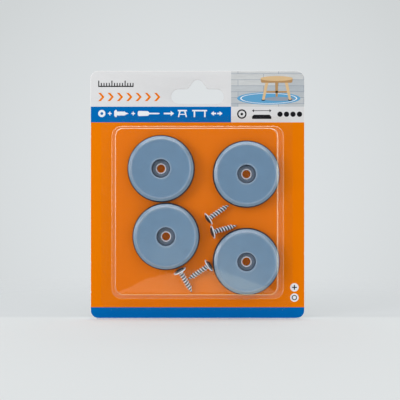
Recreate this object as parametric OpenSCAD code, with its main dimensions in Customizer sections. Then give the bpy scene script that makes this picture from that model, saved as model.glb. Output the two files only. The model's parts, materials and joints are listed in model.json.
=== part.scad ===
// A hanging retail pack of four screw-on furniture glides with their four screws.
// X runs across the card, Y from the viewer into the card, Z up.
// The origin is where a display peg bears, at the crown of the hang slot on the card's back face.

/* [Glides] */
// Diameter of a glide across its rubber base
glide_d = 38; // [32:0.5:44]
// Height of a glide from its mounting face to its slide face
glide_t = 6; // [5.4:0.1:8]
// How far the slide pad stands in from the rim of the base
pad_inset = 0.3; // [0.1:0.05:0.8]
// Wall thickness of the slide pad, on its face and its skirt
pad_t = 1.4; // [1:0.1:2]
// Radius of the pad's rolled outer edge
pad_edge_r = 2.2; // [1:0.1:2.6]
// Height of the rubber that stays bare below the pad
base_edge_h = 3.2; // [2:0.1:3.4]
// Radius of the rubber's edge on the mounting face
base_foot_r = 0.4; // [0.1:0.1:1]
// Diameter of the recess that takes the screw head
recess_d = 10.4; // [9:0.1:12]
// Depth of that recess below the slide face
recess_depth = 2.9; // [2:0.1:3.2]
// Radius of the lip round the recess
recess_lip_r = 0.55; // [0.2:0.05:1]
// Thickness of the recess's own wall
recess_wall_t = 0.8; // [0.5:0.1:1.5]

/* [Eyelets] */
// Diameter of the screw hole through the eyelet
hole_d = 4.7; // [4:0.1:5]
// Thickness of the eyelet's tube
eyelet_tube_t = 0.4; // [0.2:0.05:0.6]
// Outer diameter of the eyelet's two rolled rims
eyelet_rim_d = 6; // [5.9:0.1:7]
// Height of one rolled rim
eyelet_rim_t = 0.4; // [0.2:0.05:0.7]

/* [Screws] */
// Length of a screw from under its head to its point
screw_l = 14; // [12:0.5:18]
// Diameter over the thread
screw_d = 3.5; // [3:0.1:4]
// Diameter of the core between the threads
core_d = 2.4; // [2:0.1:2.8]
// Distance from one thread to the next
thread_pitch = 1.35; // [1.1:0.05:1.8]
// Length of the pointed end
point_l = 3.2; // [2:0.1:4]
// Diameter of the blunted tip
tip_d = 0.3; // [0.2:0.05:0.6]
// Diameter of the washer head
head_d = 7.6; // [6:0.1:8.5]
// Height of the head
head_h = 1.7; // [1.3:0.1:2.5]
// Thickness of the head at its rim
head_rim_t = 0.5; // [0.3:0.05:0.8]
// Diameter of the domed part of the head, where it leaves the washer
head_dome_d = 5.4; // [4.5:0.1:6]
// Length of one arm pair of the cross recess
cross_l = 3.6; // [3:0.1:4]
// Width of an arm of the cross recess
cross_w = 0.8; // [0.6:0.05:1]
// Depth of the cross recess
cross_depth = 1.1; // [0.7:0.05:1.2]

/* [Card] */
// Thickness of the backing card
card_t = 0.6; // [0.4:0.05:1]
// Corner radius of the card
card_corner_r = 4.5; // [1:0.5:8]
// Card left bare on each side of the blister's flange
card_side = 6.5; // [4:0.5:15]
// From the crown of the hang slot up to the card's top edge
crown_to_top = 5; // [4:0.5:10]
// From the crown of the hang slot down to the blister's dome
crown_to_dome = 25.7; // [23:0.1:40]
// From the blister's dome down to the card's bottom edge
dome_to_foot = 9.7; // [8:0.1:20]

/* [Hang slot] */
// Width of the hang slot across both wings
slot_w = 30; // [24:1:36]
// Height of the slot's wings
wing_h = 8.5; // [6:0.5:10]
// Height of the crown above the wings
crown_rise = 5.3; // [4:0.1:7]
// Radius at the top of the crown
crown_r = 3.4; // [2.5:0.1:4]
// Width of the crown where it meets the wings
crown_foot_w = 10.9; // [8:0.1:14]

/* [Blister] */
// Thickness of the clear sheet
sheet_t = 0.35; // [0.25:0.05:0.6]
// Width of the sealed flange round the dome
flange_w = 5; // [3.5:0.5:8]
// Corner radius of the flange
flange_corner_r = 6; // [2:0.5:10]
// Corner radius of the dome at its foot
dome_corner_r = 5.5; // [4:0.5:10]
// How far the dome's wall leans in from its foot to its face
dome_lean = 4; // [2:0.1:5]
// Radius between the dome's wall and its face
face_fillet_r = 1.5; // [0.8:0.1:2]
// Radius between the flange and the dome's wall
foot_fillet_r = 0.8; // [0.4:0.1:1.5]
// Room between the tallest piece and the dome's face
headroom = 1; // [0.8:0.1:3]
// Thickness of the seal coat that holds the flange
seal_t = 0.02; // [0.01:0.01:0.05]
// How far off the card's centre line the blister is sealed
seal_shift = -0.4; // [-2:0.1:2]

/* [Layout] */
// From the dome's left wall to the upper left glide
gap_left = 10.2; // [6:0.1:16]
// From the right glides to the dome's right wall
gap_right = 2.4; // [2.4:0.1:8]
// From the dome's top to the upper left glide
gap_top_left = 6; // [3:0.1:12]
// From the dome's top to the upper right glide
gap_top_right = 9.1; // [3:0.1:14]
// From the lower right glide to the dome's bottom
gap_bottom_right = 3.8; // [2.4:0.1:8]
// Between the two left glides
gap_stack = 0.4; // [0.2:0.1:3]
// How far the lower left glide swings to the right of the upper one
stack_lean = 4.2; // [0:0.1:10]
// Spare room past the point of the screw that lies below the left glides
gap_screw_end = 1.8; // [1:0.1:5]
// How much less than a screw's length the gap between the two columns is
column_tuck = 5.5; // [4:0.1:6]
// How much less than two screw heads the gap between the right glides is
head_tuck = 3.8; // [3:0.1:4.5]
// Least clearance between loose pieces
goods_gap = 0.3; // [0.2:0.05:0.6]
// How far loose pieces lie clear of the card
rest_gap = 0.15; // [0.1:0.05:0.3]
// From the upper right glide to the point of screw 1
screw_1_gap = 1; // [0.6:0.1:3]
// Direction round the upper right glide in which the point of screw 1 lies
screw_1_bearing = 240.6; // [235:0.1:245]
// Direction in which screw 1 points
screw_1_angle = 33.9; // [28:0.1:38]
// Direction in which screw 2 points, along the rim of the lower right glide
screw_2_angle = 15; // [10:0.1:20]
// Direction round the lower right glide in which the head of screw 3 lies
screw_3_bearing = 186; // [182:0.1:190]
// Direction in which screw 3 points
screw_3_angle = 214.3; // [210:0.1:220]
// Direction round the lower left glide in which the head of screw 4 lies
screw_4_bearing = -68; // [-75:0.1:-64]
// Direction in which screw 4 points
screw_4_angle = -61; // [-65:0.1:-58]

/* [Hidden] */

$fn = 64;
// Steps along each small arc of a turned profile
arc_steps = 6;
// Steps round each corner of the blister
corner_steps = 8;
// Sides of a screw's threaded shank, and its rings in each turn of the thread
thread_sides = 12;
thread_rings = 6;
// How much of the pitch the ridge of the thread takes up
ridge_share = 0.6;
// How much the dome's corner tightens as its wall leans in
corner_share = 0.35;
// Where the flanks of the slot's crown leave its round top, and how wide they are there
crown_flank_share = 0.94;
// How much narrower than its foot the head's dome is at the drive face
dome_top_share = 0.62;
// How far every cut runs past the face that it opens
overrun = 0.1;

// Glides
glide_r = glide_d / 2;
pad_r = glide_r - pad_inset;
recess_r = recess_d / 2;
recess_floor = glide_t - recess_depth;
pad_under = glide_t - pad_t;
hole_r = hole_d / 2;
tube_r = hole_r + eyelet_tube_t;
eyelet_rim_r = eyelet_rim_d / 2;
eyelet_top = recess_floor + eyelet_rim_t;

// Screws, which lie on the rim of the head and on the thread where the point begins
screw_r = screw_d / 2;
head_r = head_d / 2;
head_dome_r = head_dome_d / 2;
screw_tilt = atan((head_r - screw_r) / (screw_l - point_l));
screw_axis_h = rest_gap + head_r * cos(screw_tilt);
screw_lay_l = screw_l * cos(screw_tilt);
dome_top_r = head_dome_r * dome_top_share;
// How far the tilted head's drive face and the flank of its rim reach back past its underside
face_back = head_h * cos(screw_tilt) + dome_top_r * sin(screw_tilt);
rim_back = head_rim_t * cos(screw_tilt) + head_r * sin(screw_tilt) / 2;

// Blister
dome_depth = max(glide_t, head_d) + rest_gap + headroom + sheet_t;
wall_angle = atan2(dome_depth - sheet_t, dome_lean);
foot_tangent = foot_fillet_r * tan(wall_angle / 2);
face_tangent = face_fillet_r * tan(wall_angle / 2);
gap_columns = screw_l + head_h - column_tuck;
left_column_h = gap_top_left + 2 * glide_d + gap_stack + head_h + screw_l + gap_screw_end;
right_column_h = gap_top_right + 2 * glide_d + 2 * head_d - head_tuck + gap_bottom_right;
dome_w = gap_left + 2 * glide_d + gap_columns + gap_right;
dome_h = max(left_column_h, right_column_h);
dome_left = seal_shift - dome_w / 2;
dome_right = seal_shift + dome_w / 2;
dome_top = -crown_to_dome;
dome_bottom = dome_top - dome_h;
dome_middle = [seal_shift, (dome_top + dome_bottom) / 2];

// Card
card_w = dome_w + 2 * (flange_w + card_side);
card_top = crown_to_top;
card_bottom = dome_bottom - dome_to_foot;

// Where each glide's axis meets the card, as X and Z
glide_1 = [dome_left + gap_left + glide_r, dome_top - gap_top_left - glide_r];
glide_2 = [dome_right - gap_right - glide_r, dome_top - gap_top_right - glide_r];
glide_3 = glide_1 + (glide_d + gap_stack) * [sin(stack_lean), -cos(stack_lean)];
glide_4 = [dome_right - gap_right - glide_r, dome_bottom + gap_bottom_right + glide_r];
glides = [glide_1, glide_2, glide_3, glide_4];

// Where the underside of each screw's head lies, as X and Z
screw_1 = glide_2 + (glide_r + screw_1_gap) * heading(screw_1_bearing)
    - screw_lay_l * heading(screw_1_angle);
screw_2 = glide_4 + (glide_r + goods_gap + screw_r) * heading(screw_2_angle + 90)
    - screw_lay_l * heading(screw_2_angle);
screw_3 = glide_4 + head_reach(screw_3_angle - screw_3_bearing) * heading(screw_3_bearing);
screw_4 = glide_3 + head_reach(screw_4_angle - screw_4_bearing) * heading(screw_4_bearing);
screws = [screw_1, screw_2, screw_3, screw_4];
screw_angles = [screw_1_angle, screw_2_angle, screw_3_angle, screw_4_angle];

function heading(angle) = [cos(angle), sin(angle)];

// How far from a glide's axis a head lies that is turned by skew from facing straight away
function head_reach(skew) = max(
    glide_r + goods_gap + face_back * cos(skew),
    head_r * sin(skew) + rim_back * cos(skew)
        + sqrt(pow(glide_r + goods_gap, 2) - pow(head_r * cos(skew), 2))
);

// Points on an arc about middle, from one angle to another
function arc(middle, r, from, to, steps) =
    [for (k = [0:steps]) middle + r * heading(from + (to - from) * k / steps)];

// Profile of the blister's wall as inset from the dome's foot and height, depth below its outer skin
function wall_profile(depth) = concat(
    [[-flange_w, sheet_t - depth]],
    arc([-foot_tangent, sheet_t + foot_fillet_r], foot_fillet_r + depth,
        -90, wall_angle - 90, arc_steps),
    arc([dome_lean + face_tangent, dome_depth - face_fillet_r], face_fillet_r - depth,
        90 + wall_angle, 90, arc_steps)
);

// Outline of the blister at one inset and height, as points round its four corners
function blister_ring(inset, height) =
    let (r = inset == -flange_w ? flange_corner_r : dome_corner_r - corner_share * inset)
    [
        for (corner = [0:3])
        for (k = [0:corner_steps])
        let (a = 90 * (corner + k / corner_steps))
        let (side_x = corner == 0 || corner == 3 ? 1 : -1)
        let (side_y = corner < 2 ? 1 : -1)
        [
            side_x * (dome_w / 2 - inset - r) + r * cos(a),
            side_y * (dome_h / 2 - inset - r) + r * sin(a),
            height
        ]
    ];

// Faces of the band between each ring of points and the next
function bands(rings, sides) = [
    for (j = [0:rings - 2])
    for (k = [0:sides - 1])
    let (next = (k + 1) % sides)
    each [
        [j * sides + k, (j + 1) * sides + k, (j + 1) * sides + next],
        [j * sides + k, (j + 1) * sides + next, j * sides + next]
    ]
];

function ring_face(ring, sides) = [for (k = [0:sides - 1]) ring * sides + k];
function turned(face) = [for (k = [len(face) - 1:-1:0]) face[k]];

// Radius of the threaded shank at one angle and distance from the head
function shank_r(angle, x) =
    let (phase = x / thread_pitch - angle / 360)
    let (ridge = max(0, 1 - abs(2 * (phase - floor(phase)) - 1) / ridge_share))
    let (taper = min(1, (screw_l - x) / point_l))
    let (core = tip_d / 2 + (core_d - tip_d) / 2 * taper)
    core + ridge * taper * (screw_d - core_d) / 2;

// Puts a shape drawn face up on the card's front face, with its own origin at place
module on_card(place) {
    translate([place[0], -card_t, place[1]])
        rotate([90, 0, 0])
        children();
}

module rounded_square(w, h, r) {
    square([w - 2 * r, h], center = true);
    square([w, h - 2 * r], center = true);
    for (x = [-1, 1], y = [-1, 1])
        translate([x * (w / 2 - r), y * (h / 2 - r)])
            circle(r);
}

module hang_slot() {
    wing_middle = -crown_rise - wing_h / 2;
    translate([0, wing_middle])
        square([slot_w - wing_h, wing_h], center = true);
    for (side = [-1, 1])
        translate([side * (slot_w - wing_h) / 2, wing_middle])
            circle(wing_h / 2);
    translate([0, -crown_r])
        circle(crown_r);
    flank_w = crown_r * crown_flank_share;
    polygon([
        [-crown_foot_w / 2, -crown_rise - overrun],
        [crown_foot_w / 2, -crown_rise - overrun],
        [flank_w, -crown_r],
        [-flank_w, -crown_r]
    ]);
}

module card() {
    card_h = card_top - card_bottom;
    color("darkorange")
        rotate([90, 0, 0])
        linear_extrude(card_t)
        difference() {
            translate([0, (card_top + card_bottom) / 2])
                rounded_square(card_w, card_h, card_corner_r);
            hang_slot();
        }
}

module blister() {
    outer = wall_profile(0);
    inner = wall_profile(sheet_t);
    profile = concat(outer, turned(inner));
    sides = 4 * (corner_steps + 1);
    half = len(outer);
    last = len(profile) - 1;
    points = [for (p = profile) each blister_ring(p[0], p[1])];
    outer_bands = bands(half, sides);
    inner_bands = [for (f = outer_bands) f + half * sides * [1, 1, 1]];
    rim_band = [
        for (k = [0:sides - 1])
        let (next = (k + 1) % sides)
        each [
            [last * sides + k, k, next],
            [last * sides + k, next, last * sides + next]
        ]
    ];
    caps = [turned(ring_face(half - 1, sides)), ring_face(half, sides)];
    color("azure", 0.3)
        on_card(dome_middle)
        translate([0, 0, seal_t])
        polyhedron(points, concat(outer_bands, inner_bands, rim_band, caps));
}

// Slide pad: a low-friction cap with a rolled edge and a dished middle
module slide_pad(place) {
    color("lightslategray")
        on_card(place)
        translate([0, 0, rest_gap])
        rotate_extrude()
        polygon(concat(
            [
                [recess_r, recess_floor],
                [recess_r + recess_wall_t, recess_floor],
                [recess_r + recess_wall_t, pad_under],
                [pad_r - pad_t, pad_under],
                [pad_r - pad_t, base_edge_h],
                [pad_r, base_edge_h]
            ],
            arc([pad_r - pad_edge_r, glide_t - pad_edge_r], pad_edge_r, 0, 90, arc_steps),
            arc([recess_r + recess_lip_r, glide_t - recess_lip_r], recess_lip_r, 90, 180, arc_steps)
        ));
}

// Rubber base: the grey-black body behind the pad, with a seat for the eyelet
module rubber_base(place) {
    color("dimgray")
        on_card(place)
        translate([0, 0, rest_gap])
        rotate_extrude()
        polygon(concat(
            [
                [tube_r, eyelet_rim_t],
                [eyelet_rim_r, eyelet_rim_t],
                [eyelet_rim_r, 0]
            ],
            arc([glide_r - base_foot_r, base_foot_r], base_foot_r, -90, 0, arc_steps),
            [
                [glide_r, base_edge_h],
                [pad_r - pad_t, base_edge_h],
                [pad_r - pad_t, pad_under],
                [recess_r + recess_wall_t, pad_under],
                [recess_r + recess_wall_t, recess_floor],
                [tube_r, recess_floor]
            ]
        ));
}

// Eyelet: a steel tube with a rolled rim at each end, which lines the screw hole
module eyelet(place) {
    rim_round_r = eyelet_rim_t / 2;
    color("silver")
        on_card(place)
        translate([0, 0, rest_gap])
        rotate_extrude()
        polygon(concat(
            [
                [hole_r, 0],
                [eyelet_rim_r, 0],
                [eyelet_rim_r, eyelet_rim_t],
                [tube_r, eyelet_rim_t],
                [tube_r, recess_floor],
                [eyelet_rim_r, recess_floor]
            ],
            arc([eyelet_rim_r - rim_round_r, eyelet_top - rim_round_r], rim_round_r, 0, 90, arc_steps),
            [[hole_r, eyelet_top]]
        ));
}

// Head of a screw, drawn upright with its underside at height zero
module screw_head() {
    difference() {
        rotate_extrude()
            polygon([
                [0, 0],
                [head_r, 0],
                [head_r, head_rim_t],
                [head_dome_r, head_rim_t],
                [(head_dome_r + dome_top_r) / 2, (head_rim_t + 2 * head_h) / 3],
                [dome_top_r, head_h],
                [0, head_h]
            ]);
        for (turn = [0, 90])
            rotate([0, 0, turn])
                translate([-cross_l / 2, -cross_w / 2, head_h - cross_depth])
                cube([cross_l, cross_w, cross_depth + overrun]);
    }
}

// Threaded shank of a screw, drawn along X from just inside the head to the point
module screw_shank() {
    root = -head_rim_t / 2;
    rings = ceil((screw_l - root) / thread_pitch * thread_rings);
    step = (screw_l - root) / rings;
    points = [
        for (j = [0:rings])
        for (k = [0:thread_sides - 1])
        let (x = root + j * step)
        let (angle = 360 * k / thread_sides)
        let (r = shank_r(angle, x))
        [x, r * cos(angle), r * sin(angle)]
    ];
    ends = [ring_face(0, thread_sides), turned(ring_face(rings, thread_sides))];
    polyhedron(points, concat(bands(rings + 1, thread_sides), ends));
}

// Screw lying on the card
module screw(place, angle) {
    color("silver")
        on_card(place)
        translate([0, 0, screw_axis_h])
        rotate([0, 0, angle])
        rotate([0, screw_tilt, 0]) {
            rotate([0, -90, 0])
                screw_head();
            screw_shank();
        }
}

card();
blister();
slide_pad(glides[0]);  // slide_pad_1
slide_pad(glides[1]);  // slide_pad_2
slide_pad(glides[2]);  // slide_pad_3
slide_pad(glides[3]);  // slide_pad_4
rubber_base(glides[0]);  // rubber_base_1
rubber_base(glides[1]);  // rubber_base_2
rubber_base(glides[2]);  // rubber_base_3
rubber_base(glides[3]);  // rubber_base_4
eyelet(glides[0]);  // eyelet_1
eyelet(glides[1]);  // eyelet_2
eyelet(glides[2]);  // eyelet_3
eyelet(glides[3]);  // eyelet_4
screw(screws[0], screw_angles[0]);  // screw_1
screw(screws[1], screw_angles[1]);  // screw_2
screw(screws[2], screw_angles[2]);  // screw_3
screw(screws[3], screw_angles[3]);  // screw_4
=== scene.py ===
"""Looks of a hanging pack of furniture glides: printed card, clear blister, four glides, four loose screws.

Lengths are in metres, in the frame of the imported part: X across the card, Y into it, Z up.
"""
import json
import math

import bmesh
import bpy
from mathutils import Matrix, Vector


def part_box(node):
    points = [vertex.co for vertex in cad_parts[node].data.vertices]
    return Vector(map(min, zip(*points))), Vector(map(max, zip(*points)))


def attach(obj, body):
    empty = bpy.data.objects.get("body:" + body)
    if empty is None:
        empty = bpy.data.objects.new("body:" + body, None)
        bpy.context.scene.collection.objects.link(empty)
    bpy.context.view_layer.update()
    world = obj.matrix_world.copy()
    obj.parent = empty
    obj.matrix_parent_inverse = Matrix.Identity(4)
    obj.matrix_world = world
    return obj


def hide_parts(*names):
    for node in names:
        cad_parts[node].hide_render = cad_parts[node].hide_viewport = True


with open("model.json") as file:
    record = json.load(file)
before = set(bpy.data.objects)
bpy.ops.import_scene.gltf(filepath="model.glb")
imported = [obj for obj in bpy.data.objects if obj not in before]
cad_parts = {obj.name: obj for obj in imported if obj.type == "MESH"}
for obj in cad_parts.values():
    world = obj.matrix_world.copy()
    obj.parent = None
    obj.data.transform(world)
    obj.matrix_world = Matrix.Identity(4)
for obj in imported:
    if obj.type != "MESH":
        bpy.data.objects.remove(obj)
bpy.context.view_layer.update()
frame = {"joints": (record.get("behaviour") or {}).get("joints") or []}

MM = 0.001
GLIDE_NUMBERS = (1, 2, 3, 4)
SCREW_NUMBERS = (1, 2, 3, 4)


def screen(red, green, blue):
    """A colour as a screen shows it, 0 to 255, as the linear colour that a shader takes."""
    def linear(value):
        value /= 255
        return value / 12.92 if value <= 0.04045 else ((value + 0.055) / 1.055) ** 2.4

    return (linear(red), linear(green), linear(blue), 1.0)


# Colours of the print and the board
ORANGE = screen(232, 122, 1)
BLUE = screen(0, 103, 177)
WHITE_COAT = screen(219, 219, 220)
WHITE_INK = screen(232, 236, 240)
BLACK_INK = screen(28, 28, 32)
BOARD_BACK = screen(206, 204, 198)
BOARD_FLECK = screen(120, 112, 100)
BOARD_FIBRE = screen(243, 242, 240)
# Painted shade: the hang slot's cut edge is greyer than the card's other cut edges
SLOT_CUT_SHADE = screen(208, 208, 207)
PLANK_PALE = screen(204, 206, 206)
PLANK_GREY = screen(180, 187, 193)
PLANK_JOINT = screen(140, 151, 166)
TAN_INK = screen(216, 184, 140)
TAN_SHADE_INK = screen(178, 141, 98)
RUG_INK = screen(96, 160, 202)
SHADE_INK = screen(146, 156, 170)

# Colours of the glides and screws
PAD_BLUE = screen(101, 144, 177)
# Pale colour of the pad's painted highlight on ridge and lip, and of its scuffs
PAD_WEAR_AND_HIGHLIGHT = screen(190, 203, 214)
PAD_EDGE = screen(106, 140, 160)
RUBBER = screen(22, 22, 25)
RUBBER_BLOOM = screen(146, 156, 170)
SEAT_SLATE = screen(98, 117, 134)
STEEL = screen(224, 229, 234)
# Painted shade: the eyelet's bore is darker grey, so the hole through the glide looks darker
BORE_SHADE_GREY = screen(120, 122, 126)
ZINC = screen(230, 245, 255)
ZINC_DULL = screen(172, 188, 204)
# Painted shade in the screw thread's root and on the dome of its head
THREAD_ROOT_SHADE = screen(58, 72, 88)
HEAD_SHADE = screen(96, 100, 106)

# Colours of the stage
BACKDROP = screen(208, 212, 213)
BACKDROP_GLOW = screen(223, 227, 229)
ROOM = screen(215, 219, 221)
ROOM_FRONT = screen(60, 60, 62)
FLOOR_PAPER = screen(228, 232, 233)
# Lighter floor in front of the card, a painted light that offsets the card's shade on it
FLOOR_PAINTED_LIGHT = screen(236, 242, 244)
FLOOR_BEHIND = screen(219, 223, 225)
FLOOR_GLOW = screen(224, 228, 229)
GLINT = (2.3, 2.25, 1.6, 1.0)
FOOT_GLINT = (1.4, 1.05, 0.5, 1.0)
DAYLIGHT_WHITE = (1.0, 1.0, 1.0, 1.0)

# Card, read from the frame, and the sizes that it doesn't give
CARD_LOW, CARD_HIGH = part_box("card")
CARD_FRONT = CARD_LOW.y
CARD_BACK = CARD_HIGH.y
CARD_CORNER_R = 4.5 * MM
CARD_CORNER_STEPS = 14
# The die-cut edge as inset from the outline and depth behind the front, then before the back, in mm
FRONT_EDGE = ((0.2, 0.0), (0.1, 0.03), (0.03, 0.09), (0.0, 0.18))
BACK_EDGE = ((0.0, 0.14), (0.04, 0.05), (0.12, 0.0))
RIM_WEAR = 0.4 * MM
RIM_WEAR_SIZE = 2.4 * MM
SLOT_W = 30 * MM
WING_R = 4.25 * MM
CROWN_RISE = 5.3 * MM
CROWN_R = 3.4 * MM
CROWN_FOOT_W = 10.9 * MM
CROWN_FOOT_R = 2 * MM
SLOT_STEPS = 16

# Printed zones on the card's front, and the ink
TITLE_TOP = -15.3 * MM
TITLE_BOTTOM = -24.25 * MM
TITLE_RIGHT = 19.1 * MM
FOOT_BAND_TOP = -129.4 * MM
FILM_T = 0.012 * MM
FILM_SINK = 0.02 * MM
INK_FIBRE = 0.22 * MM
INK_LAY = 9 * MM
INK_RELIEF = 0.004 * MM
INK_GLOSS = 0.36
PRINT_SHEEN = 0.012
PLANK_GRAIN = (7 * MM, 1.0, 0.35 * MM)
PLANK_L = 23 * MM
PLANK_W = 3.4 * MM
PLANK_GAP = 0.12 * MM
PLANK_SHIFT = 0.37
PLANK_UNIT = 10 * MM

# Signs of the title row, in mm: glide (x, radius, hole), others (x, length), arrows (from, to, head)
TITLE_ROW_Z = -19.2
TITLE_SIGN_H = 4.1
TITLE_GLIDE = (-54.45, 2.05, 0.8)
TITLE_PLUSES_X = (-49.9, -36.6)
PLUS_ARM = 1.05
PLUS_HALF = 0.3
TITLE_SCREW = (-47.4, 8.2)
TITLE_DRIVER = (-34.0, 12.5)
TITLE_STOOL = (-8.6, 5.2)
TITLE_TABLE = (1.2, 8.4)
TITLE_ARROWS = ((-19.2, -13.4, 1.9), (11.2, 14.2, 1.7), (10.6, 7.6, 1.7))
TITLE_STROKE = 0.9

# Signs in the header and beside the title, in mm
CHEVRONS = 7
CHEVRON_FIRST = (-56.5, -9.8)
CHEVRON_STEP = 5.3
CHEVRON_SIZE = (4.7, 3.6, 1.5)
SCALE_SIDES = (-56.5, -4.1, -36.4, -3.45)
TICKS = 14
TICK_STEP = 1.5
TICK_LOW = -3.6
TICK_W = 0.6
LONG_TICK = 3.1
SHORT_TICK = 1.8
WIDTH_GLIDE = (25.2, -19.5)
WIDTH_GLIDE_RING = (2.7, 1.9)
WIDTH_GLIDE_HOLE_R = 0.75
# A glide from its side: left, right, foot, shoulder, top, slope's width and rounding
WIDTH_SIDE = (31.0, 42.0, -22.3, -21.0, -19.9, 1.0, 0.3)
WIDTH_ARROW_Z = -17.6
WIDTH_ARROW = (0.35, 1.1)
COUNT_FIRST = (46.9, -19.6)
COUNT_STEP = 3.7
COUNT_R = 1.5
CORNER_X = 55.1
CORNER_CROSS_Z = -118.1
CORNER_RING_Z = -123.9
CORNER_SPOT_R = 2.4
CORNER_RING = (1.5, 1.0)
CORNER_CROSS = (1.4, 0.3)

# Picture, in mm: legs, rung and seat as outlines, ovals as middle and size
STOOL_X = 45.0
STOOL_LEG = [(51.9, -11.4), (53.3, -11.4), (51.3, -1.0), (49.5, -1.0)]
STOOL_REAR_LEG = [(44.4, -9.7), (45.6, -9.7), (45.9, -1.0), (44.1, -1.0)]
STOOL_RUNG = (39.2, -7.4, 50.8, -6.4)
STOOL_SEAT = [(36.2, -1.7), (53.8, -1.7), (54.2, 0.6), (35.8, 0.6)]
STOOL_SEAT_R = 0.7
STOOL_TOP = (STOOL_X, 0.7, 18.4, 2.8)
STOOL_SHADE = (46.4, -10.9, 17.0, 2.2)
STOOL_FEET = ((37.4, -11.5, 2.2, 0.9), (52.6, -11.5, 2.2, 0.9))
RUG = (40.5, -10.6)
RUG_SIZE = (36.0, 7.0)
RUG_BAND = ((32.5, 6.0), (31.0, 5.5))

# Blister, read from the frame, and the sizes that it doesn't give
SHEET_LOW, SHEET_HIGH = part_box("blister")
SHEET_T = 0.35 * MM
FLANGE_W = 5 * MM
FLANGE_CORNER_R = 6 * MM
FOOT_CORNER_R = 5.5 * MM
FACE_CORNER_R = 4.6 * MM
DOME_LEAN = 4 * MM
FACE_R = 1.7 * MM
FOOT_R = 0.7 * MM
DOME_DEPTH = SHEET_HIGH.y - SHEET_LOW.y
# Left, right, low and high side of the sheet's rim, of the dome's foot and of its face
RIM_SIDES = (SHEET_LOW.x, SHEET_HIGH.x, SHEET_LOW.z, SHEET_HIGH.z)
FOOT_SIDES = (-48.6 * MM, 48.8 * MM, -124.4 * MM, -26.6 * MM)
FACE_SIDES = (-46.1 * MM, 44.9 * MM, -121.4 * MM, -28.2 * MM)
DOME_MIDDLE = ((FACE_SIDES[0] + FACE_SIDES[1]) / 2, (FACE_SIDES[2] + FACE_SIDES[3]) / 2)
# Dents of the right wall and swells of the low one: depth, place along the wall and width, in mm
RIGHT_DENTS = ((0.55, -72.0, 1.8), (-0.3, -68.5, 1.5))
LOW_SWELLS = ((0.35, 19.5, 3.2), (0.5, 27.0, 3.6))
RIPPLE_H = 0.05 * MM
RIPPLE_ACROSS = 6.1 * MM
RIPPLE_UP = 7.3 * MM
SHEET_CORNER_STEPS = 16
SHEET_SIDE_STEPS = 36
FLANGE_STEPS = 3
FILLET_STEPS = 10
WALL_STEPS = 8
FACE_RINGS = 16

# Clear sheet: what it lets through, what it mirrors and where it is hazy
SHEET_TINT = (0.998, 0.997, 0.995, 1.0)
# Tint of the light that passes the sheet to what lies under it, not of what the camera sees through it: warm
# under the dome and barely tinted under the flange, a painted light that stands in for light bounced inside
# the pack
SHEET_WARM_LIGHT = (1.0, 0.95, 0.95, 1.0)
FLANGE_LIGHT = (1.0, 0.99, 0.98, 1.0)
SHEET_POLISH = (0.95, 0.95, 0.95, 1.0)
# Cream tint of the bends' mirror, a painted highlight
BEND_HIGHLIGHT_CREAM = (1.0, 0.96, 0.66, 1.0)
SHEET_HAZE = screen(226, 230, 232)
SQUARE_GLOSS = 0.013
SLANT_GLOSS = 0.65
# Mirror share along the bends, a painted highlight: on the sides, the low side and the top, and how much of
# it the foot keeps
SIDE_BEND_HIGHLIGHT = 0.12
LOW_BEND_HIGHLIGHT = 0.18
TOP_BEND_HIGHLIGHT = 0.22
FOOT_BEND_SHARE = 0.65
SHEET_ROUGH = 0.035
SCUFFED_ROUGH = 0.14
BEND_ROUGH = 0.3
WALL_HAZE = 0.035
LOW_WALL_HAZE = 0.08
FACE_HAZE = 0.005
FLANGE_HAZE = 0.002
SCUFF_HAZE = 0.02
DUST_HAZE = 0.10
# How far the sheet faces the viewer, from 0 to 1, where a bend starts and where it ends
STEEP_BEND = (0.45, 0.7)
FLAT_BEND = (0.99, 0.91)
WALL_TURN = (0.95, 0.5)
# Depths between which the foot of the dome turns into the sealed flange
SEAL_DEPTHS = (SHEET_HIGH.y - 3 * SHEET_T, SHEET_HIGH.y - 1.5 * SHEET_T)

# Glides: radii and heights above the mounting face
GLIDE_R = 19 * MM
PAD_R = 18.35 * MM
PAD_SHOULDER_H = 5.3 * MM
PAD_SHOULDER_R = 0.4 * MM
PAD_UNDER = 4.6 * MM
PAD_SKIRT_R = 17.3 * MM
PAD_CHAMFER = 0.12 * MM
# Sections of the pad in mm: its ridge, rings of its flat face, and the rise to its lip
PAD_RIDGE = ((17.1, 5.9), (16.92, 6.05), (16.77, 6.18), (16.65, 6.22),
             (16.5, 6.18), (16.3, 6.11), (16.08, 6.03), (15.9, 6.0))
PAD_FACE = ((15.0, 6.0), (12.0, 6.0), (9.0, 6.0), (7.2, 6.0))
PAD_LIP = ((6.45, 6.0), (6.25, 6.03), (6.05, 6.08), (5.85, 6.1))
LIP_TOP = 6.1 * MM
LIP_ROUND_R = 0.55 * MM
# Rings of painted highlight on the pad's ridge and lip, their strength, and how pale scuffs make the pad
RIDGE_RING = (16.65 * MM, 0.5 * MM)
LIP_RING = (5.7 * MM, 0.45 * MM)
RIDGE_HIGHLIGHT = 0.24
LIP_HIGHLIGHT = 0.26
SCUFF_RUB = 0.07
ROLLED_EDGE = (16.8 * MM, 17.2 * MM)
BASE_EDGE_H = 3.2 * MM
BASE_FOOT_R = 0.4 * MM
BASE_RIM_R = 0.15 * MM
BEAD_H = 1.6 * MM
BEAD_HALF = 0.1 * MM
BEAD_RISE = 0.05 * MM
RECESS_R = 5.2 * MM
RECESS_WALL_R = 6 * MM
RECESS_FLOOR = 3.1 * MM
SEAT_R = 5 * MM
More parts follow.
